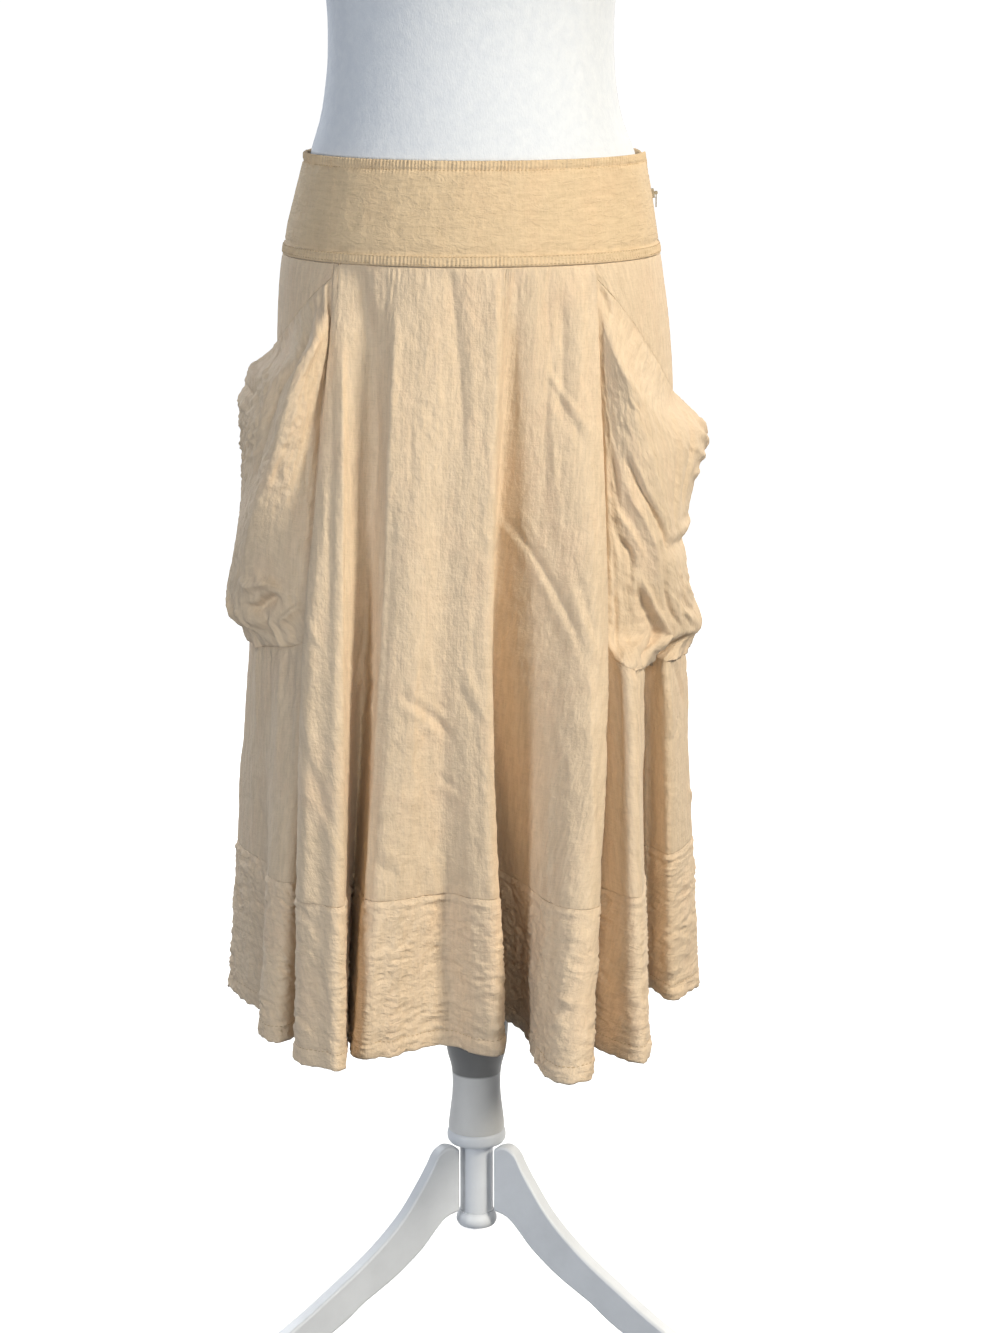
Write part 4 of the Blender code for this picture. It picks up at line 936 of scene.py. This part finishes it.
def jersey(name):
    """Stretched white jersey over the form: fine ribs and a faint mottle."""
    n = Nodes(name)
    place = n.add("TexCoord").outputs["Object"]
    ribs = n.noise(n.stretched(place, 900, 900, 320), 1.0, 2.0)
    mottle = n.noise(n.stretched(place, 140, 140, 110), 1.0, 4.0, 0.65)
    colour = n.mix(n.ramp(mottle, 0.3, 0.7), (0.645, 0.675, 0.735, 1), (0.715, 0.74, 0.785, 1))
    normal = n.bump(ribs, 0.0003, 0.7, n.bump(mottle, 0.0007, 0.6))
    return n.finished(Base_Color=colour, Roughness=0.92, Sheen_Weight=0.35, Sheen_Roughness=0.4,
                      Specular_IOR_Level=0.2, Normal=normal)


def paint(name, base, roughness=0.42, painted_shade_z=None):
    """Satin white paint on turned and sawn wood, with brush marks, slight greying and, above a given
    height, dark grey painted shade where the skirt shades the pole."""
    n = Nodes(name)
    place = n.add("TexCoord").outputs["Object"]
    grain = n.noise(n.stretched(place, 260, 260, 26), 1.0, 3.0)
    wear = n.noise(n.stretched(place, 30, 30, 30), 1.0, 4.0, 0.6)
    dull = tuple(c * 0.90 for c in base[:3]) + (1.0,)
    colour = n.mix(n.ramp(wear, 0.35, 0.75), base, dull)
    if painted_shade_z:
        height = n.add("SeparateXYZ", Vector=place).outputs["Z"]
        # dark grey painted shade above this height: the skirt's shadow on the pole
        colour = n.mix(n.ramp(height, painted_shade_z - 0.001, painted_shade_z + 0.001), colour, (0.125, 0.125, 0.125, 1))
    gloss = n.math("ADD", n.math("MULTIPLY", wear, 0.16), roughness - 0.08)
    return n.finished(Base_Color=colour, Roughness=gloss, Normal=n.bump(grain, 0.0003, 0.35))


def metal(name, base, roughness):
    """Dull metal with fine marks."""
    n = Nodes(name)
    place = n.add("TexCoord").outputs["Object"]
    marks = n.noise(n.stretched(place, 900, 900, 900), 1.0, 4.0, 0.6)
    dull = tuple(c * 0.6 for c in base[:3]) + (1.0,)
    gloss = n.math("ADD", n.math("MULTIPLY", marks, 0.25), roughness)
    return n.finished(Base_Color=n.mix(n.ramp(marks, 0.35, 0.7), base, dull), Metallic=1.0,
                      Roughness=gloss, Normal=n.bump(marks, 0.0001, 0.4))


SAND = linen("sand_linen", (0.715, 0.563, 0.402))
BAND = linen("band_linen", (0.640, 0.487, 0.315), 0.08, level=True, crush=(55, 135, 0.30))
HEM = linen("hem_linen", (0.730, 0.573, 0.410), crush=(55, 120, 0.26))
# thread darker than the cloth: the thread's own tone, deepened as painted seam shade along the stitch lines
THREAD_SEAM_SHADE = linen("thread_with_painted_seam_shade", (0.50, 0.36, 0.21), 0.03)
TAPE = linen("zip_tape", (0.50, 0.37, 0.22), 0.05)
JERSEY = jersey("white_jersey")
PAINT = paint("white_paint", (0.73, 0.75, 0.79, 1))
POLE = paint("pole_paint", (0.68, 0.67, 0.66, 1), painted_shade_z=POLE_SHADE_Z)
BRASS = metal("antique_brass", (0.30, 0.24, 0.16, 1), 0.32)

# ---- The skirt's pieces ----
# flat width and height, and the area of the cut
YOKE_CUTS = {"left": ((0.145, 0.130), 0.0115), "right": ((0.145, 0.090), 0.0076)}
NEAR_GAP = 0.00006       # two sewn pieces all but touch
SEAM_DIP = 0.00005
SEWN = {"top": NEAR_GAP, "bottom": NEAR_GAP, "first": NEAR_GAP, "last": NEAR_GAP}


def even_u(group, count, start, end, heights, crowd=0.0):
    """Values of u evenly spaced along the cloth, measured at these heights and averaged. They crowd
    towards the first edge, or towards the last with crowd below 0."""
    u = np.linspace(start, end, 3001)
    total = 0.0
    for z in heights:
        steps = np.linalg.norm(np.diff(surface(group, u, np.full(len(u), z)), axis=0), axis=1)
        length = np.concatenate(([0.0], np.cumsum(steps)))
        total = total + length / length[-1]
    share = np.linspace(0, 1, count + 1)
    share = share - crowd * np.sin(math.pi * share)
    return np.interp(share * total[-1], total, u)


def finish(name, grid, across, down, sides, material=SAND, dip=0.00022):
    """Turns a grid into a closed shell that stands for its CAD solid."""
    grid, uv = with_edges(grid, np.stack((across, -down), -1), sides, dip=dip)
    obj = shell("cloth_" + name, grid, uv, material, "sand_cloth")
    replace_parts(obj, name)


# place along a stitch, thickness, and height over the cloth in radii
STITCH_RINGS = ((0.0, 0.45, -0.5), (0.25, 1.0, 0.45), (0.75, 1.0, 0.45), (1.0, 0.45, -0.5))


def stitches(name, grid, distance, lines, pitch, length=0.0022, radius=0.00034):
    """Rows of small stitches along a grid, each row at a distance from one of its edges."""
    outward = normals(grid)
    points, steps = [], 4
    around = np.arange(steps) / steps * 2 * math.pi
    for values, at in ((distance[key], at) for key, at in lines):
        row = np.abs(values.mean(axis=1) - at).argmin()
        path, up = grid[row], outward[row]
        run = np.concatenate(([0], np.cumsum(np.linalg.norm(np.diff(path, axis=0), axis=1))))
        for middle in np.arange(pitch, run[-1] - pitch, pitch):
            ends = [np.array([np.interp(middle + o, run, path[:, k]) for k in range(3)])
                    for o in (-length / 2, length / 2)]
            normal = np.array([np.interp(middle, run, up[:, k]) for k in range(3)])
            along = ends[1] - ends[0]
            side = np.cross(along, normal)
            side /= np.linalg.norm(side)
            ring = np.outer(np.cos(around), normal) + np.outer(np.sin(around), side)
            for part, size, lift in STITCH_RINGS:
                centre = ends[0] + along * part + normal * radius * lift
                points.append(centre + radius * size * ring)
    points = np.concatenate(points)
    ring = np.arange(4 * steps).reshape(4, steps)
    after = np.roll(ring, -1, axis=1)
    one = np.stack((ring[:-1], after[:-1], after[1:], ring[1:]), -1).reshape(-1, 4)
    one = np.concatenate((one, ring[:1, ::-1], ring[-1:]))
    faces = (one + np.arange(0, len(points), 4 * steps)[:, None, None]).reshape(-1, 4)
    uv = np.stack((np.arange(len(points)) * 0.0007, points[:, 2]), -1)
    return new_object(name, points, faces, THREAD_SEAM_SHADE, "sand_cloth", uv)


def seam_fade(across, down, sides, reach):
    """0 at sewn edges, 1 inside."""
    distances = {
        "top": down, "bottom": down[-1:] - down,
        "first": across - across[:, :1], "last": across[:, -1:] - across,
    }
    fade = np.ones(across.shape)
    for side, distance in distances.items():
        if side in sides:
            fade = fade * smoothstep(distance / reach)
    return fade


def seam_puckers(across, distance, seed, rise, reach=0.014, spacing=0.0058):
    """Small uneven puckers that die away from a seam."""
    length = reach * (0.8 + 0.7 * noise(across / (spacing * 2.3), 0 * distance, seed + 1))
    fade = np.clip(1 - distance / np.maximum(length, 1e-4), 0, 1) ** 1.2
    folds = noise(across / spacing, distance / (reach * 3), seed)
    return rise * folds * fade * smoothstep(distance / 0.0015)


def panel(name, group, u, z, creases, sides, height):
    base = surface_grid(group, u, z)
    across, down = measure(base)
    bumps = height(across, down)
    placed = crease_height(group, base, creases)
    fade = seam_fade(across, down, sides, 0.006)
    placed = placed * seam_fade(across, down, ("first", "last"), 0.004)
    placed = placed * seam_fade(across, down, ("top",), 0.010)
    grid = base + normals(base) * (bumps * fade + placed)[..., None]
    finish(name, grid, across, down, sides)


def long_panel(group, seed, columns, rows):
    u = even_u(group, columns, 0, 1, (0.90, 0.52))
    u, t = np.meshgrid(u, np.linspace(0, 1, rows + 1))

    def height(across, down):
        foot = down[-1:] - down
        waist = seam_puckers(across, down, seed, 0.0013, 0.026, 0.0056)
        seams = waist + seam_puckers(across, foot, seed + 3, 0.0022, 0.013)
        return seams + crumple(across, down, seed + 9) + streaks(across, down, seed + 20)

    z = lerp(WAIST_Z, HEM_SEAM_Z, t)
    panel(group + "_panel", group, u, z, CREASES[group], SEWN, height)


def side_panel(side, seed):
    u = even_u(side, 124, 0, 1, (0.62, 0.52))
    u, t = np.meshgrid(u, np.linspace(0, 1, 54))

    def height(across, down):
        foot = down[-1:] - down
        gathers = seam_puckers(across, down, seed, 0.0030, 0.050, 0.0085)
        return gathers + seam_puckers(across, foot, seed + 3, 0.0009) + crumple(across, down, seed + 9)

    z = lerp(foot_z(side, u), HEM_SEAM_Z, t)
    panel("side_panel_" + side, side, u, z, CREASES["side_" + side], SEWN, height)


COLUMNS = {"front": (80, 222, 80), "back": (40, 124, 40)}      # of the hem band, group by group


def hem_band(name, groups, seed):
    """Half the hem band, from side seam to side seam across three groups."""
    strips, climbs, placed = [], [], []
    table = np.array(BAND_CLIMB, float)
    t = np.linspace(0, 1, 85)
    for group, columns in zip(groups, COLUMNS[groups[1]]):
        start, end = 0.0, 1.0
        if group == groups[0]:
            start = 0.5
        elif group == groups[-1]:
            end = 0.5
        u = even_u(group, columns, start, end, (0.49, 0.38))
        if group != groups[0]:
            u = u[1:]
        uu, tt = np.meshgrid(u, t)
        strips.append(surface_grid(group, uu, lerp(HEM_SEAM_Z, HEM_Z, tt)))
        if group == "front":
            climbs.append(np.interp(u * 15, table[:, 0], table[:, 1]) * MM)
            placed.append(crease_height(group, strips[-1], CREASES["front_band"]))
        else:
            climbs.append(0 * u)
            placed.append(0 * uu)
    base = np.concatenate(strips, axis=1)
    across, down = measure(base)
    hem = down[-1:] - down
    bumps = crinkle(across, down, np.concatenate(climbs), seed)
    bumps += 0.0004 * noise(across / 0.02, down / 0.03, seed + 8)
    bumps *= seam_fade(across, down, ("top", "first", "last"), 0.006)
    ridge = np.exp(-((down - 0.0042) / 0.0020) ** 2) - 0.5 * np.exp(-((down - 0.0085) / 0.0018) ** 2)
    ridge *= 0.0008 * np.clip(0.8 + 1.5 * noise(across / 0.0062, down / 0.02, seed + 21), 0.0, 2.0)
    puckers = seam_puckers(across, down, seed + 11, 0.0022, 0.020, 0.0060)
    bumps += np.concatenate(placed, axis=1) + ridge + puckers
    bumps += 0.0005 * smoothstep((HEM_TURNING + 0.0005 - hem) / 0.0020)
    bumps -= 0.0006 * np.exp(-((hem - HEM_TURNING) / 0.0014) ** 2)
    bumps += 0.0022 * noise(across / 0.013, hem / 0.05, seed + 15) * np.clip(1 - hem / 0.016, 0, 1)
    grid = base + normals(base) * bumps[..., None]
    sag = 0.0022 * noise(across / 0.05, 0 * down, seed + 16)
    sag += 0.0014 * noise(across / 0.011, 0 * down, seed + 17)
    grid[..., 2] -= sag * smoothstep(down / 0.1)
    stitches("stitches_" + name, grid, {"hem": hem}, (("hem", HEM_TURNING),), 0.0042, 0.0030)
    # the hem is turned up inside
    out = normals(grid)
    last = grid[-1]
    under = last - out[-1] * 0.0016
    under[:, 2] += 0.0002
    rounded = last - out[-1] * 0.0008
    rounded[:, 2] -= 0.0009
    top = grid[-8] - out[-8] * 0.0019
    grid = np.concatenate((grid, rounded[None], under[None], top[None]))
    across = np.concatenate((across, across[-1:], across[-1:], across[-8:-7]))
    down = np.concatenate((down, down[-1:] + 0.001, down[-1:] + 0.003, down[-1:] + 0.013))
    sides = {"top": NEAR_GAP, "first": NEAR_GAP, "last": NEAR_GAP}
    finish(name, grid, across, down, sides, HEM, SEAM_DIP)


def pocket(side, seed):
    name = "pocket_" + side
    u, t = np.meshgrid(even_u(side, 176, 0, 1, (0.93, 0.80, 0.72), {"left": 0.12, "right": -0.12}[side]),
                       np.linspace(0, 1, 128))
    base = surface_grid(side, u, lerp(seam_z(side, u), foot_z(side, u), t))
    across, down = measure(base)
    foot = down[-1:] - down
    fine = crumple(across, down, seed, 0.013, 0.0010, 1.2) + streaks(across, down, seed + 20, 0.0003)
    if side == "right":
        lobe = np.exp(-((u - 0.55) / 0.14) ** 2) * np.exp(-((base[..., 2] - 0.885) / 0.06) ** 2)
        fine = fine * (1 + 2.6 * lobe)
    bumps = (fine + seam_puckers(across, down, seed + 5, 0.0022, 0.030, 0.0075)
             + seam_puckers(across, foot, seed + 7, 0.0048, 0.030, 0.0085))
    bumps *= seam_fade(across, down, SEWN, 0.004)
    placed = crease_height(side, base, CREASES[name]) * seam_fade(across, down, ("first", "last"), 0.003)
    bumps += placed * seam_fade(across, down, ("top",), 0.005)
    # the cloth bags over the lower seam, unevenly
    bag = np.exp(-((foot - 0.010) / 0.008) ** 2) * np.clip(np.sin(math.pi * u) * 2.4, 0, 1)
    bag *= 0.9 + 0.28 * noise(across / 0.030, 0 * foot, seed + 9)
    grid = base + normals(base) * (bumps + 0.0035 * bag)[..., None]
    grid[..., 2] -= 0.0060 * bag
    finish(name, grid, across, down, SEWN)


def yoke(side, front_half, zip_side, seed, flat, area):
    first = (side == "left") == front_half
    u = np.linspace(0.0 if first else 0.5, 0.5 if first else 1.0, 45)
    u, t = np.meshgrid(u, np.linspace(0, 1, 35))
    sides = dict(SEWN)
    if zip_side:
        sides["last" if first else "first"] = 2 * ZIP_HALF_GAP

    def height(across, down):
        return crumple(across, down, seed, 0.012, 0.00030) + streaks(across, down, seed + 3, 0.00015)

    name = ("yoke_front_" if front_half else "yoke_back_") + side
    panel(name, side, u, lerp(WAIST_Z, seam_z(side, u), t), (), sides, height)


def waistband(name, start, end, zip_end, columns, seed):
    """Half the waistband: raised strip at its foot, puckered topstitching along its top."""
    t = np.concatenate((np.linspace(0, 0.10, 8), np.linspace(0.145, 0.85, 10), np.linspace(0.885, 1.0, 14)))
    degrees, tt = np.meshgrid(np.linspace(start, end, columns), t)
    z = lerp(BAND_TOP_Z, WAIST_Z, tt)
    away = np.radians(np.abs(degrees - (start if zip_end == "start" else end))) * BAND_RADIUS
    inside = np.clip(CORNER_RADIUS - away, 0, CORNER_RADIUS)
    drop = CORNER_RADIUS - np.sqrt(CORNER_RADIUS ** 2 - inside ** 2)
    if zip_end == "start":
        drop = drop + 0.005 * np.exp(-(away / 0.028) ** 2)
    z = z - drop * np.clip((z - STRIP_Z) / (BAND_TOP_Z - STRIP_Z), 0, 1)
    flat_points = body_points(degrees.ravel(), z.ravel()).reshape(*z.shape, 2)
    base = np.dstack((flat_points[..., 0], flat_points[..., 1] + POLE_Y, z))
    across, down = measure(base)
    foot = down[-1:] - down
    strong = np.clip(0.9 + 0.8 * noise(across / 0.05, 0 * down, seed + 1), 0.45, 1.4)
    lift = STRIP_LIFT * (0.4 + 0.6 * np.cos(np.radians(degrees - (start + end) / 2)) ** 2)
    bumps = lift * smoothstep((STRIP_DEPTH - foot) / 0.0014) * smoothstep(foot / 0.0014)
    edges = {"down": down, "foot": foot}
    for edge, at, depth in BAND_GROOVES:
        bumps = bumps - depth * MM * np.exp(-((edges[edge] - at) / 0.0013) ** 2)
    pitch = 4.5 * 0.46 / columns
    wave = np.sin(2 * math.pi * (across / pitch + 0.8 * noise(across / 0.025, 0 * down, seed + 2)))
    uneven = 0.7 + 0.5 * noise(across / 0.009, down / 0.02, seed + 3)
    top = np.exp(-(np.maximum(0, down - 0.0060) / 0.0030) ** 2)
    strip = np.exp(-((foot - 0.0046) / 0.0042) ** 2)
    bumps += 0.00070 * strong * uneven * wave * (top + strip)
    bumps += 0.0006 * noise(across / 0.009, down / 0.03, seed + 4) * (np.exp(-(down / 0.015) ** 2) + strip)
    middle = smoothstep((down - 0.005) / 0.010) * smoothstep((foot - 0.009) / 0.008)
    bumps += 0.0007 * middle * noise(across / 0.020, down / 0.014, seed + 6)
    grid = base + normals(base) * bumps[..., None]
    stitches("stitches_" + name, grid[:, 2:-2], edges, BAND_STITCHES, 0.0036)
    # the top edge is folded over
    out = normals(grid)
    first = grid[0] - out[0] * 0.0007
    first[:, 2] += 0.0006
    second = grid[0] - out[0] * 0.0015
    second[:, 2] -= 0.0002
    third = grid[3] - out[3] * 0.0019
    grid = np.concatenate((third[None], second[None], first[None], grid))
    across = np.concatenate((across[:3], across))
    down = np.concatenate((down[:1] - 0.008, down[:1] - 0.002, down[:1] - 0.001, down))
    sides = {"bottom": NEAR_GAP, "first": NEAR_GAP, "last": NEAR_GAP}
    sides["first" if zip_end == "start" else "last"] = 2 * ZIP_HALF_GAP
    finish(name, grid, across, down, sides, BAND)


waistband("waistband_front", -90, 90, "end", 625, 11)
waistband("waistband_back", 90, 270, "start", 381, 31)
long_panel("front", 51, 250, 164)
long_panel("back", 71, 156, 108)
for side, seed in (("left", 100), ("right", 200)):
    for front_half in (True, False):
        yoke(side, front_half, side == "left", seed + front_half, *YOKE_CUTS[side])
    pocket(side, seed + 20)
    side_panel(side, seed + 40)
hem_band("hem_band_front", ("right", "front", "left"), 301)
hem_band("hem_band_back", ("left", "back", "right"), 331)


# ---- Zip: tape, teeth, slider and pull ----
ZIP_TOP_Z = 1.087
TAPE_THICK = 0.0005
TAPE_ROWS = ((-3.0, 1.6), (-1.2, 1.1), (0.0, 1.0), (1.2, 1.1), (3.0, 1.6))     # y, depth inwards (mm)
TOOTH = (0.0009, 0.0024, 0.0009)
TOOTH_PITCH = 0.0014
TOOTH_OUT, TOOTH_ASIDE = -0.0003, 0.0007


def boxes_mesh(name, centres, size, frames, material, slot):
    """Many small bricks in one mesh."""
    corner = np.array([(x, y, z) for x in (-1, 1) for y in (-1, 1) for z in (-1, 1)]) * np.array(size) / 2
    faces = np.array([(0, 1, 3, 2), (4, 6, 7, 5), (0, 4, 5, 1), (2, 3, 7, 6), (0, 2, 6, 4), (1, 5, 7, 3)])
    points = np.concatenate([centre + corner @ turn.T for centre, turn in zip(centres, frames)])
    all_faces = np.concatenate([faces + 8 * i for i in range(len(centres))])
    obj = new_object(name, points, all_faces, material, slot, points[:, [1, 2]], 30)
    bevel = obj.modifiers.new("Bevel", "BEVEL")
    bevel.width = min(size) * 0.28
    bevel.segments = 1
    return obj


def zip_pieces():
    foot = POCKET_SIDE_Z["left"] + 0.003
    z = np.linspace(ZIP_TOP_Z, foot, 60)
    x = body_points(np.full(len(z), 90.0), z)[:, 0]
    rows = []
    for y, sink in TAPE_ROWS:
        rows.append(np.stack((x - sink * MM, np.full(len(z), POLE_Y + y * MM), z), -1))
    grid = np.stack(rows, axis=1)
    across, down = measure(grid)
    tape = shell("zip_tape_strip", grid, np.stack((across, -down), -1), TAPE, "zip_tape", TAPE_THICK)
    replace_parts(tape, "zip_chain")
    centres, frames = [], []
    for i in range(int((ZIP_TOP_Z - foot) / TOOTH_PITCH)):
        level = ZIP_TOP_Z - (i + 0.5) * TOOTH_PITCH
        here = body_points(np.array([90.0, 90.0]), np.array([level + 0.002, level - 0.002]))[:, 0]
        tilt = math.atan2(here[1] - here[0], 0.004)
        aside = TOOTH_ASIDE if i % 2 else -TOOTH_ASIDE
        centres.append(np.array((here.mean() + TOOTH_OUT, POLE_Y + aside, level)))
        frames.append(np.array(Matrix.Rotation(-tilt, 3, "Y")))
    boxes_mesh("zip_teeth", centres, TOOTH, frames, BRASS, "zip_metal")
    return tape


zip_pieces()
for node in ("zip_slider", "zip_pull"):
    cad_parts[node].data.materials.clear()
    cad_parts[node].data.materials.append(BRASS)


# ---- Dress form and stand ----
def torso(steps=88):
    """The form's body, a stack of rounded rings that leans a little above the waist."""
    angles = np.arange(steps) / steps * 2 * math.pi
    rings = np.array(TORSO_RINGS[::-1], float)
    heights = rings[:, 0] * MM
    foot = heights[-1]
    z = np.concatenate((np.linspace(FORM_TOP_Z, FORM_RIM_Z, 74), np.linspace(FORM_RIM_Z - 0.004, foot, 8)))
    t = np.interp(-z, -heights, np.arange(len(heights)))
    half, front, back, power = curve_through(rings[:, None, 1:], t).T
    s, k = np.sin(angles)[None], np.cos(angles)[None]
    depth = np.where(k > 0, front[:, None], back[:, None]) * MM
    bend = 2 / power[:, None]
    x = half[:, None] * MM * np.sign(s) * np.abs(s) ** bend
    y = -depth * np.sign(k) * np.abs(k) ** bend
    lean = TORSO_LEAN * smoothstep((z - 1.060) / 0.110)
    grid = np.dstack((x + lean[:, None], y + POLE_Y, np.repeat(z[:, None], steps, axis=1)))
    points, faces = rings_mesh(grid, (0, POLE_Y, FORM_TOP_Z), (0, POLE_Y, foot))
    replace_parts(new_object("form_body", points, faces, JERSEY, "form_jersey", None, 50), "form_torso")


def turned(name, node, profile, steps=64, smooth=True, material=PAINT):
    """A turned piece: a smooth curve through the profile between its flat ends."""
    points = np.array(profile, float) * MM
    rings = points[1:-1]
    if smooth:
        t = np.linspace(0, len(rings) - 1, (len(rings) - 1) * 4 + 1)
        rings = curve_through(rings[:, None], t)
    grid = circles(rings[:, 0], rings[:, 1], steps) + (0, POLE_Y, 0)
    verts, faces = rings_mesh(grid, (0, POLE_Y, points[0, 1]), (0, POLE_Y, points[-1, 1]))
    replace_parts(new_object(name, verts, faces, material, "white_paint", None, 38), node)


def leg(name, node, degrees):
    """A sawn leg: four-cornered rings from the post out to the toe, with rounded edges. The rings
    run clockwise, so its faces look inwards."""
    t = np.linspace(0, len(LEG_SECTIONS) - 1, (len(LEG_SECTIONS) - 1) * 3 + 1)
    edges = curve_through(np.array(LEG_SECTIONS, float)[:, None], t)
    edges = np.maximum(np.vstack((edges, LEG_TOE)), 0) * MM
    away, z = edges[:, (0, 0, 2, 2)], edges[:, (1, 1, 3, 3)]
    aside = np.array((1, -1, -1, 1)) * LEG_THICK / 2
    a = math.radians(degrees)
    grid = np.dstack((away * math.cos(a) - aside * math.sin(a),
                      away * math.sin(a) + aside * math.cos(a) + POLE_Y, z))
    obj = new_object(name, *rings_mesh(grid), PAINT, "white_paint", None, 40)
    bevel = obj.modifiers.new("Bevel", "BEVEL")
    bevel.width = 0.0022
    bevel.segments = 3
    bevel.limit_method = "ANGLE"
    bevel.angle_limit = math.radians(60)
    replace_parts(obj, node)


torso()
turned("neck_cap", "form_neck_cap", CAP_PROFILE)
turned("turned_pole", "stand_pole", POLE_PROFILE, material=POLE)
turned("pole_ring", "stand_ring", RING_PROFILE)
turned("leg_post", "stand_post", POST_PROFILE, smooth=False)
turned("leg_post_cap", "stand_post_cap", POST_CAP_PROFILE)
for leg_node, leg_degrees in LEGS:
    leg(leg_node.replace("stand_", "curved_"), leg_node, leg_degrees)


# ---- Stage, light and camera ----
def studio():
    """A pale round floor that curves up into the wall behind. It glows a little, so that it reads
    as a plain light ground, but throws no light on the cloth."""
    turns = np.radians(7.5 * np.arange(1, 13))
    level = (0.8, 2.0, 4.0, 8.0, FLOOR_RADIUS)
    radii = np.concatenate((level, FLOOR_RADIUS + COVE * np.sin(turns), (FLOOR_RADIUS + COVE,)))
    heights = np.concatenate((np.zeros(len(level)), COVE - COVE * np.cos(turns), (WALL_TOP,)))
    points, faces = rings_mesh(circles(radii, heights, 96), (0, 0, 0))
    mesh = bpy.data.meshes.new("studio_floor")
    mesh.from_pydata(points.tolist(), [], faces)
    mesh.shade_smooth()
    floor = in_scene("studio_floor", mesh)
    n = Nodes("pale_floor")
    place = n.add("TexCoord").outputs["Object"]
    far = n.add("VectorMath", operation="LENGTH")
    n.put(far, 0, place)
    glow = n.add("MapRange", Value=far.outputs["Value"],
                 From_Min=0.4, From_Max=4.5, To_Min=0.74, To_Max=1.0)
    mesh.materials.append(n.finished(
        Base_Color=(0.62, 0.62, 0.62, 1), Roughness=0.9, Specular_IOR_Level=0.1,
        Emission_Color=(1, 1, 1, 1), Emission_Strength=glow.outputs[0]))
    floor.visible_diffuse = False


def softbox(name, degrees, rise, size, power, colour):
    """A round soft light that faces the skirt, turned this many degrees to the right of the front."""
    a, e = math.radians(degrees), math.radians(rise)
    aim = Vector((0, 0, LIGHT_AIM_Z))
    place = aim + LIGHT_AWAY * Vector((math.cos(e) * math.sin(a), -math.cos(e) * math.cos(a), math.sin(e)))
    light = bpy.data.lights.new(name, "AREA")
    light.shape = "DISK"
    light.size = size
    light.energy = power
    light.color = colour
    obj = in_scene(name, light)
    obj.location = place
    obj.rotation_euler = (aim - place).to_track_quat("-Z", "Y").to_euler()


studio()
softbox("key_light", 54, 31, 0.8, 87, (1.0, 0.935, 0.80))
softbox("front_light", 8, 18, 1.0, 23.5, (0.98, 0.965, 0.88))
softbox("fill_light", -42, 3, 0.8, 30.5, (0.95, 1.01, 1.08))
softbox("back_light_right", 145, 30, 1.2, 46, (1.0, 0.97, 0.90))
softbox("back_light_left", 215, 25, 1.2, 50, (0.97, 1.01, 1.05))

world = bpy.data.worlds.new("studio")
world.use_nodes = True
background = world.node_tree.nodes["Background"].inputs
background["Color"].default_value = (0.72, 0.92, 1.25, 1)
background["Strength"].default_value = 0.05
bpy.context.scene.world = world
bpy.context.scene.view_settings.view_transform = "Standard"

camera_data = bpy.data.cameras.new("camera")
camera_data.lens = LENS
camera_data.sensor_width = SENSOR
camera = in_scene("camera", camera_data)
camera.location = (0, POLE_Y - CAMERA_AWAY, CAMERA_Z)
camera.rotation_euler = (math.radians(90 - CAMERA_DOWN), 0, math.radians(-CAMERA_RIGHT))
bpy.context.scene.camera = camera
